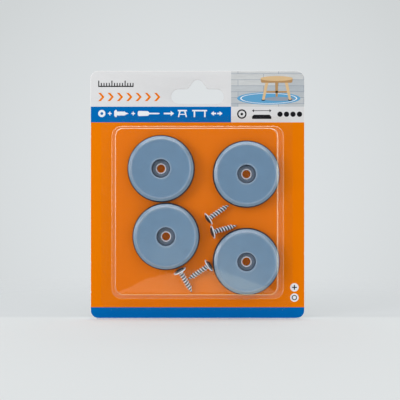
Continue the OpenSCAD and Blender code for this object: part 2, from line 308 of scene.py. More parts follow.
# The land round the eyelet, as radius and height above the recess's floor, in mm
SEAT_LAND = ((4.9, 0.0), (4.45, 0.0), (4.35, 0.05), (4.22, 0.14),
             (4.1, 0.16), (3.25, 0.16), (3.12, 0.12), (3.05, 0.0))
HOLE_R = 2.35 * MM
TUBE_R = 2.75 * MM
RIM_R = 3 * MM
RIM_T = 0.4 * MM
RIM_ROLL_R = 0.2 * MM
THROAT_R = 0.12 * MM
EYELET_FOOT = 0.1 * MM
GLIDE_SIDES = 128
EYELET_SIDES = 72

# Screws: lengths run from under the head to the point
SCREW_L = 14 * MM
THREAD_R = 1.6 * MM
CORE_R = 1.05 * MM
PITCH = 1.65 * MM
POINT_L = 3.2 * MM
TIP_R = 0.15 * MM
THREAD_RUN_OUT = 1.1 * MM
THREAD_SIDES = 40
# One pitch of the thread, as share of the pitch and share of the thread's height
THREAD_SECTION = ((0.0, 0.0), (0.2, 0.0), (0.33, 0.36), (0.455, 0.96),
                  (0.5, 1.0), (0.545, 0.96), (0.67, 0.36), (0.8, 0.0))
HEAD_H = 1.45 * MM
HEAD_RIM_T = 0.5 * MM
HEAD_DOME_R = 2.7 * MM
HEAD_DOME_FOOT = 0.62 * MM
HEAD_TOP_R = 0.3 * MM
# The washer as radius and height above the head's underside, in mm
WASHER = ((1.2, 0.0), (3.5, 0.0), (3.7, 0.03), (3.8, 0.14), (3.8, 0.34),
          (3.7, 0.46), (3.3, 0.5), (2.85, 0.54), (2.7, 0.62))
CROSS_L = 3.6 * MM
CROSS_W = 0.8 * MM
CROSS_DEPTH = 1.1 * MM
# Where a screw's look changes: radius over the core's, radius in the head, place along the screw
CREST_RATIO = (1.03, 1.2)
DOME_INSIDE = (3.2 * MM, 2.8 * MM)
DOME_FROM = (-0.3 * MM, -0.5 * MM)

# Bright metal
PLATE_METALLIC = 0.2
PLATE_DULLING = 0.6
# Lengths of the tool's marks along X, Y and Z
EYELET_TOOLING = (1.5 * MM, 0.08 * MM, 1.5 * MM)
SCREW_TOOLING = (0.08 * MM, 1.2 * MM, 1.2 * MM)

# Grain of the other finishes: size of its lumps, gap between specks, depth of its relief
FIBRE_SIZE = (1.6 * MM, 0.3 * MM, 0.12 * MM)
FIBRE_TURN = 0.3
BOARD_CLOUD = 14 * MM
FLECK_GAP = 2.4 * MM
BOARD_RELIEF = 0.012 * MM
DUST_GAP = 5 * MM
SHEET_WAVE = 11 * MM
SHEET_RELIEF = 0.02 * MM
PAD_CLOUD = 6 * MM
PAD_SPECKLE = 0.45 * MM
PAD_PATCH = 3 * MM
PAD_GRAIN = 0.3 * MM
PAD_RELIEF = 0.005 * MM
RUBBER_PIT = 0.25 * MM
RUBBER_CLOUD = 4 * MM
RUBBER_SPECK_GAP = 1.1 * MM
RUBBER_RELIEF = 0.01 * MM
PLATE_PATCH = 1.2 * MM
PLATE_RELIEF = 0.004 * MM
PAPER_GRAIN = 0.6 * MM
# Three sets of fine scratches: angle in radians, length and width
SCRATCHES = ((0.4, 9 * MM, 0.10 * MM), (1.7, 6 * MM, 0.07 * MM), (2.6, 12 * MM, 0.12 * MM))

# Where most of a noise's values lie
NOISE_LOW, NOISE_HIGH = 0.3, 0.7


# Outlines

def arc(middle, radius, start, stop, steps):
    """Points on an arc about middle, between two angles in degrees."""
    turns = [math.radians(start + (stop - start) * k / steps) for k in range(steps + 1)]
    return [(middle[0] + radius * math.cos(t), middle[1] + radius * math.sin(t)) for t in turns]


def between(first, last, steps):
    """Points that divide a straight stretch, without its two ends."""
    shares = [k / steps for k in range(1, steps)]
    return [tuple(a + (b - a) * share for a, b in zip(first, last)) for share in shares]


def eased(before, corner, after, radius, steps):
    """An arc that rounds the corner between two straight edges."""
    corner = Vector(corner)
    back = (Vector(before) - corner).normalized()
    ahead = (Vector(after) - corner).normalized()
    half = back.angle(ahead) / 2
    middle = corner + (back + ahead).normalized() * (radius / math.sin(half))
    first = corner + back * (radius / math.tan(half)) - middle
    last = corner + ahead * (radius / math.tan(half)) - middle
    start = math.degrees(math.atan2(first.y, first.x))
    sweep = math.degrees(math.atan2(last.y, last.x)) - start
    sweep = (sweep + 180) % 360 - 180
    return arc(middle, radius, start, start + sweep, steps)


def softened(corners, radius, steps=4):
    """A polygon with all its corners rounded."""
    after = corners[1:] + corners[:1]
    loop = []
    for k, corner in enumerate(corners):
        loop += eased(corners[k - 1], corner, after[k], radius, steps)
    return loop


def shifted(loop, inset):
    """An anticlockwise loop moved inwards by inset."""
    count = len(loop)
    moved = []
    for k in range(count):
        along = (Vector(loop[(k + 1) % count]) - Vector(loop[k - 1])).normalized()
        moved.append((loop[k][0] - along.y * inset, loop[k][1] + along.x * inset))
    return moved


def bar(left, low, right, high):
    """A rectangle, anticlockwise from its lower left corner."""
    return [(left, low), (right, low), (right, high), (left, high)]


def cross_loop(arm, half):
    """A cross of four arms about the origin, anticlockwise."""
    quarter = [(arm, -half), (arm, half), (half, half)]
    loop = []
    for _ in range(4):
        loop += quarter
        quarter = [(-b, a) for a, b in quarter]
    return loop


def in_mm(section):
    """A section that is written in millimetres, in metres."""
    return [(a * MM, b * MM) for a, b in section]


def card_outline():
    """The card's outline with its round corners, anticlockwise from the upper right one."""
    corners = bar(CARD_LOW.x, CARD_LOW.z, CARD_HIGH.x, CARD_HIGH.z)
    return softened(corners[2:] + corners[:2], CARD_CORNER_R, CARD_CORNER_STEPS)


def slot_outline():
    """The hang slot's outline: two round wings, and a round crown whose flanks run into them."""
    wing_x = SLOT_W / 2 - WING_R
    wing_z = -CROWN_RISE - WING_R
    foot = Vector((CROWN_FOOT_W / 2, -CROWN_RISE))
    to_crown = Vector((0, -CROWN_R)) - foot
    splay = math.asin(CROWN_R / to_crown.length)
    flank = math.atan2(to_crown.y, to_crown.x) - splay
    touch = math.degrees(flank) - 90
    crown = arc((0, -CROWN_R), CROWN_R, touch, 180 - touch, SLOT_STEPS)
    right_foot = eased((wing_x, foot.y), foot, crown[0], CROWN_FOOT_R, SLOT_STEPS // 2)
    left_foot = [(-x, z) for x, z in reversed(right_foot)]
    right_wing = arc((wing_x, wing_z), WING_R, -90, 90, SLOT_STEPS)
    left_wing = arc((-wing_x, wing_z), WING_R, 90, 270, SLOT_STEPS)
    return right_wing + right_foot + crown + left_foot + left_wing


# Meshes

def loop_verts(bm, loop, y):
    """A ring of points across the card's plane, at depth y."""
    return [bm.verts.new((x, y, z)) for x, z in loop]


def bridge(bm, near, far):
    """A band of faces between two closed rings of as many points."""
    count = len(near)
    corners = [(near[k], near[(k + 1) % count], far[(k + 1) % count], far[k]) for k in range(count)]
    return [bm.faces.new(four) for four in corners]


def bridge_all(bm, rings):
    """Bands of faces from each ring to the next."""
    return [bridge(bm, near, far) for near, far in zip(rings, rings[1:])]


def cap(bm, *rings):
    """Fills the flat face inside the first ring and outside the others."""
    edges = []
    for ring in rings:
        edges += [bm.edges.get((ring[k - 1], ring[k])) for k in range(len(ring))]
    bmesh.ops.triangle_fill(bm, use_beauty=True, use_dissolve=False, edges=edges)


def make_piece(name, bm, materials, crease_deg=32):
    """Makes a finished mesh into an object with its materials, smooth but for its creases."""
    bmesh.ops.recalc_face_normals(bm, faces=bm.faces)
    mesh = bpy.data.meshes.new(name)
    bm.to_mesh(mesh)
    bm.free()
    for material in materials:
        mesh.materials.append(material)
    mesh.shade_smooth()
    mesh.set_sharp_from_angle(angle=math.radians(crease_deg))
    piece = bpy.data.objects.new(name, mesh)
    bpy.context.scene.collection.objects.link(piece)
    return piece


def settle(piece, body, slot, *nodes):
    """Puts a piece on its body, in place of the nodes that it stands for."""
    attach(piece, body)
    if nodes:
        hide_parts(*nodes)


def turned_rings(bm, profile, sides, place):
    """A ring for each (radius, height) of a profile; place maps radius, angle and height to a point."""
    turns = [2 * math.pi * k / sides for k in range(sides)]
    return [[bm.verts.new(place(radius, turn, height)) for turn in turns] for radius, height in profile]


def about_glide_axis(radius, turn, height):
    """A point of a glide, whose axis runs from its mounting face towards the viewer."""
    return (radius * math.cos(turn), -height, radius * math.sin(turn))


def about_screw_axis(radius, turn, height):
    """A point of a screw, whose axis runs along X from its head to its point."""
    return (height, radius * math.cos(turn), radius * math.sin(turn))


# Shader building

def add(tree, kind, inputs=None, **settings):
    """A new node with its settings made, and its inputs set or linked."""
    made = tree.nodes.new(kind)
    for name, value in settings.items():
        setattr(made, name, value)
    for key, value in (inputs or {}).items():
        if isinstance(value, bpy.types.NodeSocket):
            tree.links.new(value, made.inputs[key])
        else:
            made.inputs[key].default_value = value
    return made


def calc(tree, operation, first, second=0.0):
    """A sum on values."""
    return add(tree, "ShaderNodeMath", {0: first, 1: second}, operation=operation).outputs[0]


def plus(tree, first, second):
    """Two values added."""
    return calc(tree, "ADD", first, second)


def minus(tree, first, second):
    """One value less another."""
    return calc(tree, "SUBTRACT", first, second)


def times(tree, first, second):
    """Two values multiplied."""
    return calc(tree, "MULTIPLY", first, second)


def vector_calc(tree, operation, first, second=(0.0, 0.0, 0.0)):
    """A sum on vectors."""
    return add(tree, "ShaderNodeVectorMath", {0: first, 1: second}, operation=operation).outputs[0]


def length_of(tree, vector):
    """A vector's length."""
    return add(tree, "ShaderNodeVectorMath", {0: vector}, operation="LENGTH").outputs["Value"]


def parts(tree, vector):
    """A vector's X, Y and Z."""
    return add(tree, "ShaderNodeSeparateXYZ", {"Vector": vector}).outputs


def remap(tree, value, low, high, to_low=0.0, to_high=1.0):
    """Value moved from one range to another, and held inside it."""
    inputs = {"Value": value, "From Min": low, "From Max": high, "To Min": to_low, "To Max": to_high}
    return add(tree, "ShaderNodeMapRange", inputs).outputs["Result"]


def noise(tree, where, size, detail=2.0):
    """Noise whose lumps are about size across."""
    inputs = {"Vector": where, "Scale": 1 / size, "Detail": detail}
    return add(tree, "ShaderNodeTexNoise", inputs).outputs["Fac"]


def spread(tree, field, to_low, to_high):
    """A noise's usual range moved to another."""
    return remap(tree, field, NOISE_LOW, NOISE_HIGH, to_low, to_high)


def per(lengths):
    """One over each length, as a stretched noise takes them."""
    return tuple(1 / length for length in lengths)


def streaks(tree, where, turn, scale, detail):
    """Noise turned in the card's plane and stretched; scale is one over its lengths."""
    mapped = add(tree, "ShaderNodeMapping", {"Vector": where, "Rotation": (0, turn, 0), "Scale": scale})
    return noise(tree, mapped.outputs["Vector"], 1.0, detail)


def brightened(tree, colour, value):
    """A colour made lighter or darker."""
    return add(tree, "ShaderNodeHueSaturation", {"Color": colour, "Value": value}).outputs["Color"]


def mixed(tree, factor, first, second):
    """A blend of two colours."""
    made = add(tree, "ShaderNodeMix", {0: factor, 6: first, 7: second}, data_type="RGBA")
    return made.outputs[2]


def own_place(tree):
    """A piece's own coordinates, which move with it."""
    return add(tree, "ShaderNodeTexCoord").outputs["Object"]


def bump(tree, height, relief):
    """A normal from a height; relief is its depth."""
    return add(tree, "ShaderNodeBump", {"Height": height, "Distance": relief}).outputs["Normal"]


def principled(tree, inputs):
    """The main shader of a finish."""
    return add(tree, "ShaderNodeBsdfPrincipled", inputs).outputs["BSDF"]


def blend(tree, share, first, second):
    """A blend of two shaders."""
    return add(tree, "ShaderNodeMixShader", {0: share, 1: first, 2: second}).outputs["Shader"]


def new_material(name):
    """An empty node material, with its tree and its output."""
    material = bpy.data.materials.new(name)
    material.use_nodes = True
    tree = material.node_tree
    tree.nodes.clear()
    return material, tree, tree.nodes.new("ShaderNodeOutputMaterial")


def finish_with(tree, output, shader):
    """Makes a shader the surface of a material or a world."""
    tree.links.new(shader, output.inputs["Surface"])


# Effects that several finishes share

def new_group(name, inputs, outputs):
    """An empty shader group with its sockets; returns it, what it is given, and its output node."""
    group = bpy.data.node_groups.new(name, "ShaderNodeTree")
    kinds = {"colour": "NodeSocketColor", "value": "NodeSocketFloat", "vector": "NodeSocketVector"}
    for label, kind in inputs:
        group.interface.new_socket(label, in_out="INPUT", socket_type=kinds[kind])
    for label, kind in outputs:
        group.interface.new_socket(label, in_out="OUTPUT", socket_type=kinds[kind])
    return group, group.nodes.new("NodeGroupInput").outputs, group.nodes.new("NodeGroupOutput")


def hand_out(group, result, **values):
    """Links values to a group's outputs, and returns the group."""
    for label, value in values.items():
        group.links.new(value, result.inputs[label])
    return group


def placed(tree, group, **inputs):
    """A group placed in a material with its own values; returns its outputs."""
    return add(tree, "ShaderNodeGroup", inputs, node_tree=group).outputs


def rubbed_rim(tree, where):
    """Where print is rubbed off along the card's outline, in broken patches."""
    middle = (CARD_LOW + CARD_HIGH) / 2
    straight = (CARD_HIGH - CARD_LOW) / 2 - Vector((CARD_CORNER_R, 0.0, CARD_CORNER_R))
    folded = vector_calc(tree, "ABSOLUTE", vector_calc(tree, "SUBTRACT", where, middle))
    past = vector_calc(tree, "SUBTRACT", folded, straight)
    reach = length_of(tree, vector_calc(tree, "MAXIMUM", past))
    patches = remap(tree, noise(tree, where, RIM_WEAR_SIZE, 3.0), 0.48, 0.72, 0.0, RIM_WEAR)
    kept = minus(tree, CARD_CORNER_R, patches)
    return remap(tree, minus(tree, reach, kept), 0.0, RIM_WEAR / 4)


def print_grain_group():
    """Ink on board: paper fibre, an uneven lay of the ink, and the board's white where the rim is rubbed."""
    inputs = (("Ink", "colour"), ("Mottle", "value"), ("Gloss", "value"))
    outputs = (("Color", "colour"), ("Roughness", "value"), ("Height", "value"))
    group, given, result = new_group("print_grain", inputs, outputs)
    where = own_place(group)
    fibre = noise(group, where, INK_FIBRE, 3.0)
    fleck = times(group, minus(group, fibre, 0.5), 0.12)
    drift = times(group, minus(group, noise(group, where, INK_LAY), 0.5), given["Mottle"])
    inked = brightened(group, given["Ink"], plus(group, 1.0, plus(group, fleck, drift)))
    colour = mixed(group, rubbed_rim(group, where), inked, BOARD_FIBRE)
    rough = plus(group, given["Gloss"], times(group, fleck, 1.4))
    return hand_out(group, result, Color=colour, Roughness=rough, Height=fibre)


def board_fibres_group():
    """Uncoated board: a little cloudy, with fibres that lie mostly one way."""
    outputs = (("Color", "colour"), ("Roughness", "value"), ("Height", "value"))
    group, given, result = new_group("board_fibres", (("Board", "colour"),), outputs)
    where = own_place(group)
    fibres = streaks(group, where, FIBRE_TURN, per(FIBRE_SIZE), 4.0)
    cloudy = brightened(group, given["Board"], spread(group, noise(group, where, BOARD_CLOUD), 0.965, 1.03))
    colour = brightened(group, cloudy, spread(group, fibres, 0.95, 1.04))
    rough = spread(group, fibres, 0.72, 0.86)
    return hand_out(group, result, Color=colour, Roughness=rough, Height=fibres)


def scuffs_group():
    """Fine handling scratches that lie in three directions."""
    group, given, result = new_group("handling_scuffs", (("Amount", "value"),), (("Mask", "value"),))
    where = own_place(group)
    lines = 0.0
    for turn, length, width in SCRATCHES:
        field = streaks(group, where, turn, per((length, length, width)), 1.0)
        lines = calc(group, "MAXIMUM", lines, remap(group, field, 0.69, 0.76))
    return hand_out(group, result, Mask=times(group, lines, given["Amount"]))


def specks_group():
    """Small scattered specks, such as dust or pigment."""
    inputs = (("Spacing", "value"), ("Reach", "value"))
    group, given, result = new_group("specks", inputs, (("Mask", "value"),))
    scale = calc(group, "DIVIDE", 1.0, given["Spacing"])
    cells = add(group, "ShaderNodeTexVoronoi", {"Vector": own_place(group), "Scale": scale})
    spot = minus(group, given["Reach"], cells.outputs["Distance"])
    return hand_out(group, result, Mask=remap(group, spot, 0.0, 0.05))


def worn_edges_group():
    """Where an edge stands out and is rubbed bright."""
    inputs = (("Start", "value"), ("Full", "value"))
    group, given, result = new_group("worn_edges", inputs, (("Mask", "value"),))
    bend = add(group, "ShaderNodeNewGeometry").outputs["Pointiness"]
    return hand_out(group, result, Mask=remap(group, bend, given["Start"], given["Full"]))


def rubber_skin_group():
    """Moulded rubber: fine pits, and a pale bloom in clouds."""
    outputs = (("Mask", "value"), ("Roughness", "value"), ("Height", "value"))
    group, given, result = new_group("rubber_skin", (("Bloom", "value"),), outputs)
    where = own_place(group)
    pits = noise(group, where, RUBBER_PIT, 3.0)
    bloom = remap(group, noise(group, where, RUBBER_CLOUD, 3.0), 0.4, 0.75, 0.0, given["Bloom"])
    return hand_out(group, result, Mask=bloom, Roughness=spread(group, pits, 0.55, 0.72), Height=pits)


def plated_skin_group():
    """Plated metal: fine marks of the tool, drawn out by Stretch, and duller patches."""
    inputs = (("Stretch", "vector"), ("Smooth", "value"))
    outputs = (("Roughness", "value"), ("Height", "value"), ("Patches", "value"))
    group, given, result = new_group("plated_skin", inputs, outputs)
    where = own_place(group)
    marks = streaks(group, where, 0.0, given["Stretch"], 3.0)
    rough = spread(group, marks, given["Smooth"], plus(group, given["Smooth"], 0.1))
    patches = remap(group, noise(group, where, PLATE_PATCH, 3.0), 0.35, 0.7)
    return hand_out(group, result, Roughness=rough, Height=marks, Patches=patches)


def axis_distance_group():
    """Distance from a piece's own axis; Keep has a nought for the axis."""
    group, given, result = new_group("axis_distance", (("Keep", "vector"),), (("Distance", "value"),))
    across = vector_calc(group, "MULTIPLY", own_place(group), given["Keep"])
    return hand_out(group, result, Distance=length_of(group, across))


PRINT_GRAIN = print_grain_group()
BOARD_FIBRES = board_fibres_group()
SCUFFS = scuffs_group()
SPECKS = specks_group()
WORN_EDGES = worn_edges_group()
RUBBER_SKIN = rubber_skin_group()
PLATED_SKIN = plated_skin_group()
AXIS_DISTANCE = axis_distance_group()


# Materials

def print_finish(tree, output, ink, mottle, gloss):
    """Gives a material the finish of printed board; ink is a colour, or a socket that gives one."""
    grain = placed(tree, PRINT_GRAIN, Ink=ink, Mottle=mottle, Gloss=gloss)
    finish_with(tree, output, principled(tree, {
        "Base Color": grain["Color"],
        "Roughness": grain["Roughness"],
        "Normal": bump(tree, grain["Height"], INK_RELIEF),
        "Specular IOR Level": PRINT_SHEEN,
    }))


def printed_ink(name, colour, mottle=0.05, gloss=INK_GLOSS):
    """Coated board printed in one colour."""
    material, tree, output = new_material(name)
    print_finish(tree, output, colour, mottle, gloss)
    return material


def picture_ground():
    """The picture's ground: pale planks, printed."""
    material, tree, output = new_material("picture_planks")
    where = own_place(tree)
    spot = parts(tree, where)
    flat = add(tree, "ShaderNodeCombineXYZ", {"X": spot["X"], "Y": spot["Z"]})
    planks = add(tree, "ShaderNodeTexBrick", {
        "Vector": flat.outputs["Vector"],
        "Color1": PLANK_PALE,
        "Color2": PLANK_GREY,
        "Mortar": PLANK_JOINT,
        "Scale": 1 / PLANK_UNIT,
        "Mortar Size": PLANK_GAP / PLANK_UNIT,
        "Brick Width": PLANK_L / PLANK_UNIT,
        "Row Height": PLANK_W / PLANK_UNIT,
    }, offset=PLANK_SHIFT)
    grain = streaks(tree, where, 0.0, per(PLANK_GRAIN), 3.0)
    grained = brightened(tree, planks.outputs["Color"], spread(tree, grain, 0.9, 1.06))
    print_finish(tree, output, grained, 0.06, INK_GLOSS)
    return material


def plain_board(name, colour, fleck_colour):
    """Uncoated board, matte, with fibres and a few darker flecks."""
    material, tree, output = new_material(name)
    fibres = placed(tree, BOARD_FIBRES, Board=colour)
    flecks = placed(tree, SPECKS, Spacing=FLECK_GAP, Reach=0.16)["Mask"]
    finish_with(tree, output, principled(tree, {
        "Base Color": mixed(tree, times(tree, flecks, 0.35), fibres["Color"], fleck_colour),
        "Roughness": fibres["Roughness"],
        "Normal": bump(tree, fibres["Height"], BOARD_RELIEF),
        "Specular IOR Level": 0.3,
    }))
    return material


def bend_highlight(tree, spot, bend, sealed):
    """How much the sheet's bends mirror, a painted highlight: most along the top, less at the foot of the
    wall.
    """
    top = remap(tree, spot["Z"], FACE_SIDES[3] - FACE_CORNER_R, FOOT_SIDES[3], 0.0, TOP_BEND_HIGHLIGHT)
    low = remap(tree, spot["Z"], FACE_SIDES[2] + FACE_R, FACE_SIDES[2], SIDE_BEND_HIGHLIGHT, LOW_BEND_HIGHLIGHT)
    foot = remap(tree, sealed, 0.0, 1.0, 1.0, FOOT_BEND_SHARE)
    return times(tree, bend, times(tree, plus(tree, top, low), foot))


def sheet_cloud(tree, spot, level, sealed, scuffs):
    """How hazy the sheet is: most on its walls, and where it is scuffed or dusty."""
    dust = placed(tree, SPECKS, Spacing=DUST_GAP, Reach=0.05)["Mask"]
    wall_haze = remap(tree, spot["Z"], FACE_SIDES[2] + FACE_R, FACE_SIDES[2], WALL_HAZE, LOW_WALL_HAZE)
    wall = remap(tree, level, *WALL_TURN, 0.0, wall_haze)
    marks = plus(tree, times(tree, scuffs, SCUFF_HAZE), times(tree, dust, DUST_HAZE))
    milky = remap(tree, sealed, 0.0, 1.0, FACE_HAZE, FLANGE_HAZE)
    return plus(tree, plus(tree, wall, marks), milky)


def clear_sheet():
    """Clear formed sheet: light goes straight through it, and it mirrors more at a slant and, as a painted
    highlight, along bends; light that passes to what lies under it is tinted, a painted light.
    """
    material, tree, output = new_material("clear_sheet")
    where = own_place(tree)
    spot = parts(tree, where)
    scuffs = placed(tree, SCUFFS, Amount=1.0)["Mask"]
    facing = add(tree, "ShaderNodeNewGeometry").outputs["Normal"]
    level = calc(tree, "ABSOLUTE", parts(tree, facing)["Y"])
    bend = times(tree, remap(tree, level, *STEEP_BEND), remap(tree, level, *FLAT_BEND))
    sealed = remap(tree, spot["Y"], *SEAL_DEPTHS)
    slant = add(tree, "ShaderNodeLayerWeight", {"Blend": 0.5}).outputs["Facing"]
    polish = remap(tree, calc(tree, "POWER", slant, 5.0), 0.0, 1.0, SQUARE_GLOSS, SLANT_GLOSS)
    # Mirror share: at a slant, and along the bends as a painted highlight
    mirrored = plus(tree, polish, bend_highlight(tree, spot, bend, sealed))
    smooth = remap(tree, scuffs, 0.0, 1.0, SHEET_ROUGH, SCUFFED_ROUGH)
    gloss = principled(tree, {
        "Base Color": mixed(tree, bend, SHEET_POLISH, BEND_HIGHLIGHT_CREAM),
        "Metallic": 1.0,
        "Roughness": plus(tree, smooth, times(tree, bend, BEND_ROUGH)),
        "Normal": bump(tree, noise(tree, where, SHEET_WAVE), SHEET_RELIEF),
    })
    through = add(tree, "ShaderNodeBsdfTransparent", {"Color": SHEET_TINT}).outputs["BSDF"]
    sheet = blend(tree, mirrored, through, gloss)
    haze = principled(tree, {"Base Color": SHEET_HAZE, "Roughness": 0.5})
    clouded = blend(tree, sheet_cloud(tree, spot, level, sealed, scuffs), sheet, haze)
    # Painted light: the light that passes in is tinted, the camera's view is not
    passed = mixed(tree, sealed, SHEET_WARM_LIGHT, FLANGE_LIGHT)
    lit = add(tree, "ShaderNodeBsdfTransparent", {"Color": passed}).outputs["BSDF"]
    seen = add(tree, "ShaderNodeLightPath").outputs["Is Camera Ray"]
    finish_with(tree, output, blend(tree, seen, lit, clouded))
    return material


def ring_mask(tree, distance, middle, half):
    """One on a ring about an axis, fading out to either side."""
    off = calc(tree, "ABSOLUTE", minus(tree, distance, middle))
    return remap(tree, off, half, half * 0.4)


def pad_plastic():
    """Low-friction plastic: waxy, cloudy, speckled, with a painted highlight on its ridge and lip, paler
    where scuffed, greyer at its edge.
    """
    material, tree, output = new_material("pad_plastic")
    where = own_place(tree)
    cloud = spread(tree, noise(tree, where, PAD_CLOUD, 3.0), 0.95, 1.05)
    speckle = spread(tree, noise(tree, where, PAD_SPECKLE), 0.96, 1.04)
    body = brightened(tree, brightened(tree, PAD_BLUE, cloud), speckle)
    distance = placed(tree, AXIS_DISTANCE, Keep=(1, 0, 1))["Distance"]
    rolled = mixed(tree, remap(tree, distance, *ROLLED_EDGE, 0.0, 0.5), body, PAD_EDGE)
    # Painted highlight along the ridge and the lip, broken up, together with the paler scuffs
    ridge = times(tree, ring_mask(tree, distance, *RIDGE_RING), RIDGE_HIGHLIGHT)
    lip = times(tree, ring_mask(tree, distance, *LIP_RING), LIP_HIGHLIGHT)
    broken = remap(tree, noise(tree, where, PAD_PATCH), 0.3, 0.6, 0.55, 1.0)
    scuffs = times(tree, placed(tree, SCUFFS, Amount=1.0)["Mask"], SCUFF_RUB)
    rubbed = plus(tree, times(tree, plus(tree, ridge, lip), broken), scuffs)
    grain = noise(tree, where, PAD_GRAIN, 3.0)
    finish_with(tree, output, principled(tree, {
        "Base Color": mixed(tree, rubbed, rolled, PAD_WEAR_AND_HIGHLIGHT),
        "Roughness": spread(tree, grain, 0.25, 0.33),
        "Normal": bump(tree, grain, PAD_RELIEF),
        "Specular IOR Level": 1.0,
    }))
    return material


def moulded_rubber(name, colour):
    """Moulded rubber: matte, finely pitted, with a little bloom."""
    material, tree, output = new_material(name)
    skin = placed(tree, RUBBER_SKIN, Bloom=0.12)
    specks = placed(tree, SPECKS, Spacing=RUBBER_SPECK_GAP, Reach=0.10)["Mask"]
    finish_with(tree, output, principled(tree, {
        "Base Color": mixed(tree, plus(tree, skin["Mask"], times(tree, specks, 0.10)), colour, RUBBER_BLOOM),
        "Roughness": skin["Roughness"],
        "Normal": bump(tree, skin["Height"], RUBBER_RELIEF),
        "Specular IOR Level": 0.35,
    }))
    return material


def screw_plate(tree, plate):
    """A screw's colour and metal share: painted shade in the thread's root and on the head's dome, which is
    all metal; plate colour on crests and rim.
    """
    along = parts(tree, own_place(tree))["X"]
    distance = placed(tree, AXIS_DISTANCE, Keep=(0, 1, 1))["Distance"]
    root = remap(tree, along, SCREW_L - POINT_L, SCREW_L, CORE_R, TIP_R)
    # Painted shade in the thread's root, plate colour on the crests
    crest = remap(tree, calc(tree, "DIVIDE", distance, root), *CREST_RATIO)
    # Painted shade on the head's dome, which is all metal
    dome = times(tree, remap(tree, distance, *DOME_INSIDE), remap(tree, along, *DOME_FROM))
    threaded = mixed(tree, crest, THREAD_ROOT_SHADE, plate)
    return mixed(tree, dome, threaded, HEAD_SHADE), remap(tree, dome, 0.0, 1.0, PLATE_METALLIC, 1.0)


def bright_metal(name, colour, dull, smooth, tooling, threaded=False):
    """Plated steel with fine tooling marks round its axis, brighter on its edges; a threaded one has painted
    shade in its thread and on its head.
    """
    material, tree, output = new_material(name)
    skin = placed(tree, PLATED_SKIN, Stretch=per(tooling), Smooth=smooth)
    scuffs = placed(tree, SCUFFS, Amount=0.6)["Mask"]
    worn = placed(tree, WORN_EDGES, Start=0.50, Full=0.58)["Mask"]
    dulling = minus(tree, PLATE_DULLING, times(tree, worn, PLATE_DULLING))
    plate = mixed(tree, times(tree, skin["Patches"], dulling), colour, dull)
    metallic = PLATE_METALLIC
    if threaded:
        plate, metallic = screw_plate(tree, plate)
    finish_with(tree, output, principled(tree, {
        "Base Color": plate,
        "Metallic": metallic,
        "Roughness": plus(tree, skin["Roughness"], times(tree, scuffs, 0.1)),
        "Normal": bump(tree, skin["Height"], PLATE_RELIEF),
    }))
    return material


ORANGE_INK = printed_ink("orange_ink", ORANGE)
BLUE_INK = printed_ink("blue_ink", BLUE)
HEADER_COAT = printed_ink("white_coat", WHITE_COAT, 0.03, 0.4)
PLANKS = picture_ground()
BACK_BOARD = plain_board("back_board", BOARD_BACK, BOARD_FLECK)
CUT_BOARD = plain_board("cut_board", BOARD_FIBRE, BOARD_BACK)
# Board for the hang slot's cut edge, greyer as a painted shade
SLOT_SHADED_BOARD = plain_board("slot_shaded_board", SLOT_CUT_SHADE, BOARD_BACK)
MARK_WHITE = printed_ink("white_mark_ink", WHITE_INK, 0.02)
MARK_BLACK = printed_ink("black_mark_ink", BLACK_INK, 0.04, 0.32)
MARK_ORANGE = printed_ink("orange_mark_ink", ORANGE, 0.04)
MARK_TAN = printed_ink("tan_mark_ink", TAN_INK, 0.12)
MARK_TAN_SHADE = printed_ink("tan_shade_mark_ink", TAN_SHADE_INK, 0.12)
MARK_RUG = printed_ink("rug_mark_ink", RUG_INK, 0.06)
MARK_SHADE = printed_ink("shade_mark_ink", SHADE_INK, 0.08)
SHEET = clear_sheet()
PAD = pad_plastic()
BASE = moulded_rubber("base_rubber", RUBBER)
SEAT = moulded_rubber("seat_rubber", SEAT_SLATE)
EYELET_STEEL = bright_metal("eyelet_steel", STEEL, ZINC_DULL, 0.34, EYELET_TOOLING)
# The eyelet's bore in a darker grey, a painted shade
EYELET_BORE_SHADE = bright_metal("eyelet_bore", BORE_SHADE_GREY, RUBBER, 0.5, EYELET_TOOLING)
SCREW_ZINC = bright_metal("screw_zinc", ZINC, ZINC_DULL, 0.32, SCREW_TOOLING, threaded=True)


# Card

CARD_FINISHES = (HEADER_COAT, BLUE_INK, ORANGE_INK, PLANKS, BACK_BOARD, CUT_BOARD, SLOT_SHADED_BOARD)
HEADER, TITLE, GROUND, PICTURE, BACK, EDGE, SLOT_SHADED_EDGE = range(len(CARD_FINISHES))
SQUARE_ON = 0.99


def card_zone(face):
    """Which finish a face of the card has."""
    middle = face.calc_center_median()
    if face.normal.y > SQUARE_ON:
        return BACK
    if face.normal.y > -SQUARE_ON:
        # The hang slot's cut faces get the board with painted shade
        return SLOT_SHADED_EDGE if abs(middle.x) < SLOT_W and TITLE_TOP < middle.z < CROWN_R else EDGE
    if middle.z > TITLE_TOP:
        return PICTURE if middle.x > TITLE_RIGHT else HEADER
    if middle.z > TITLE_BOTTOM:
        return HEADER if middle.x > TITLE_RIGHT else TITLE
    return GROUND if middle.z > FOOT_BAND_TOP else TITLE


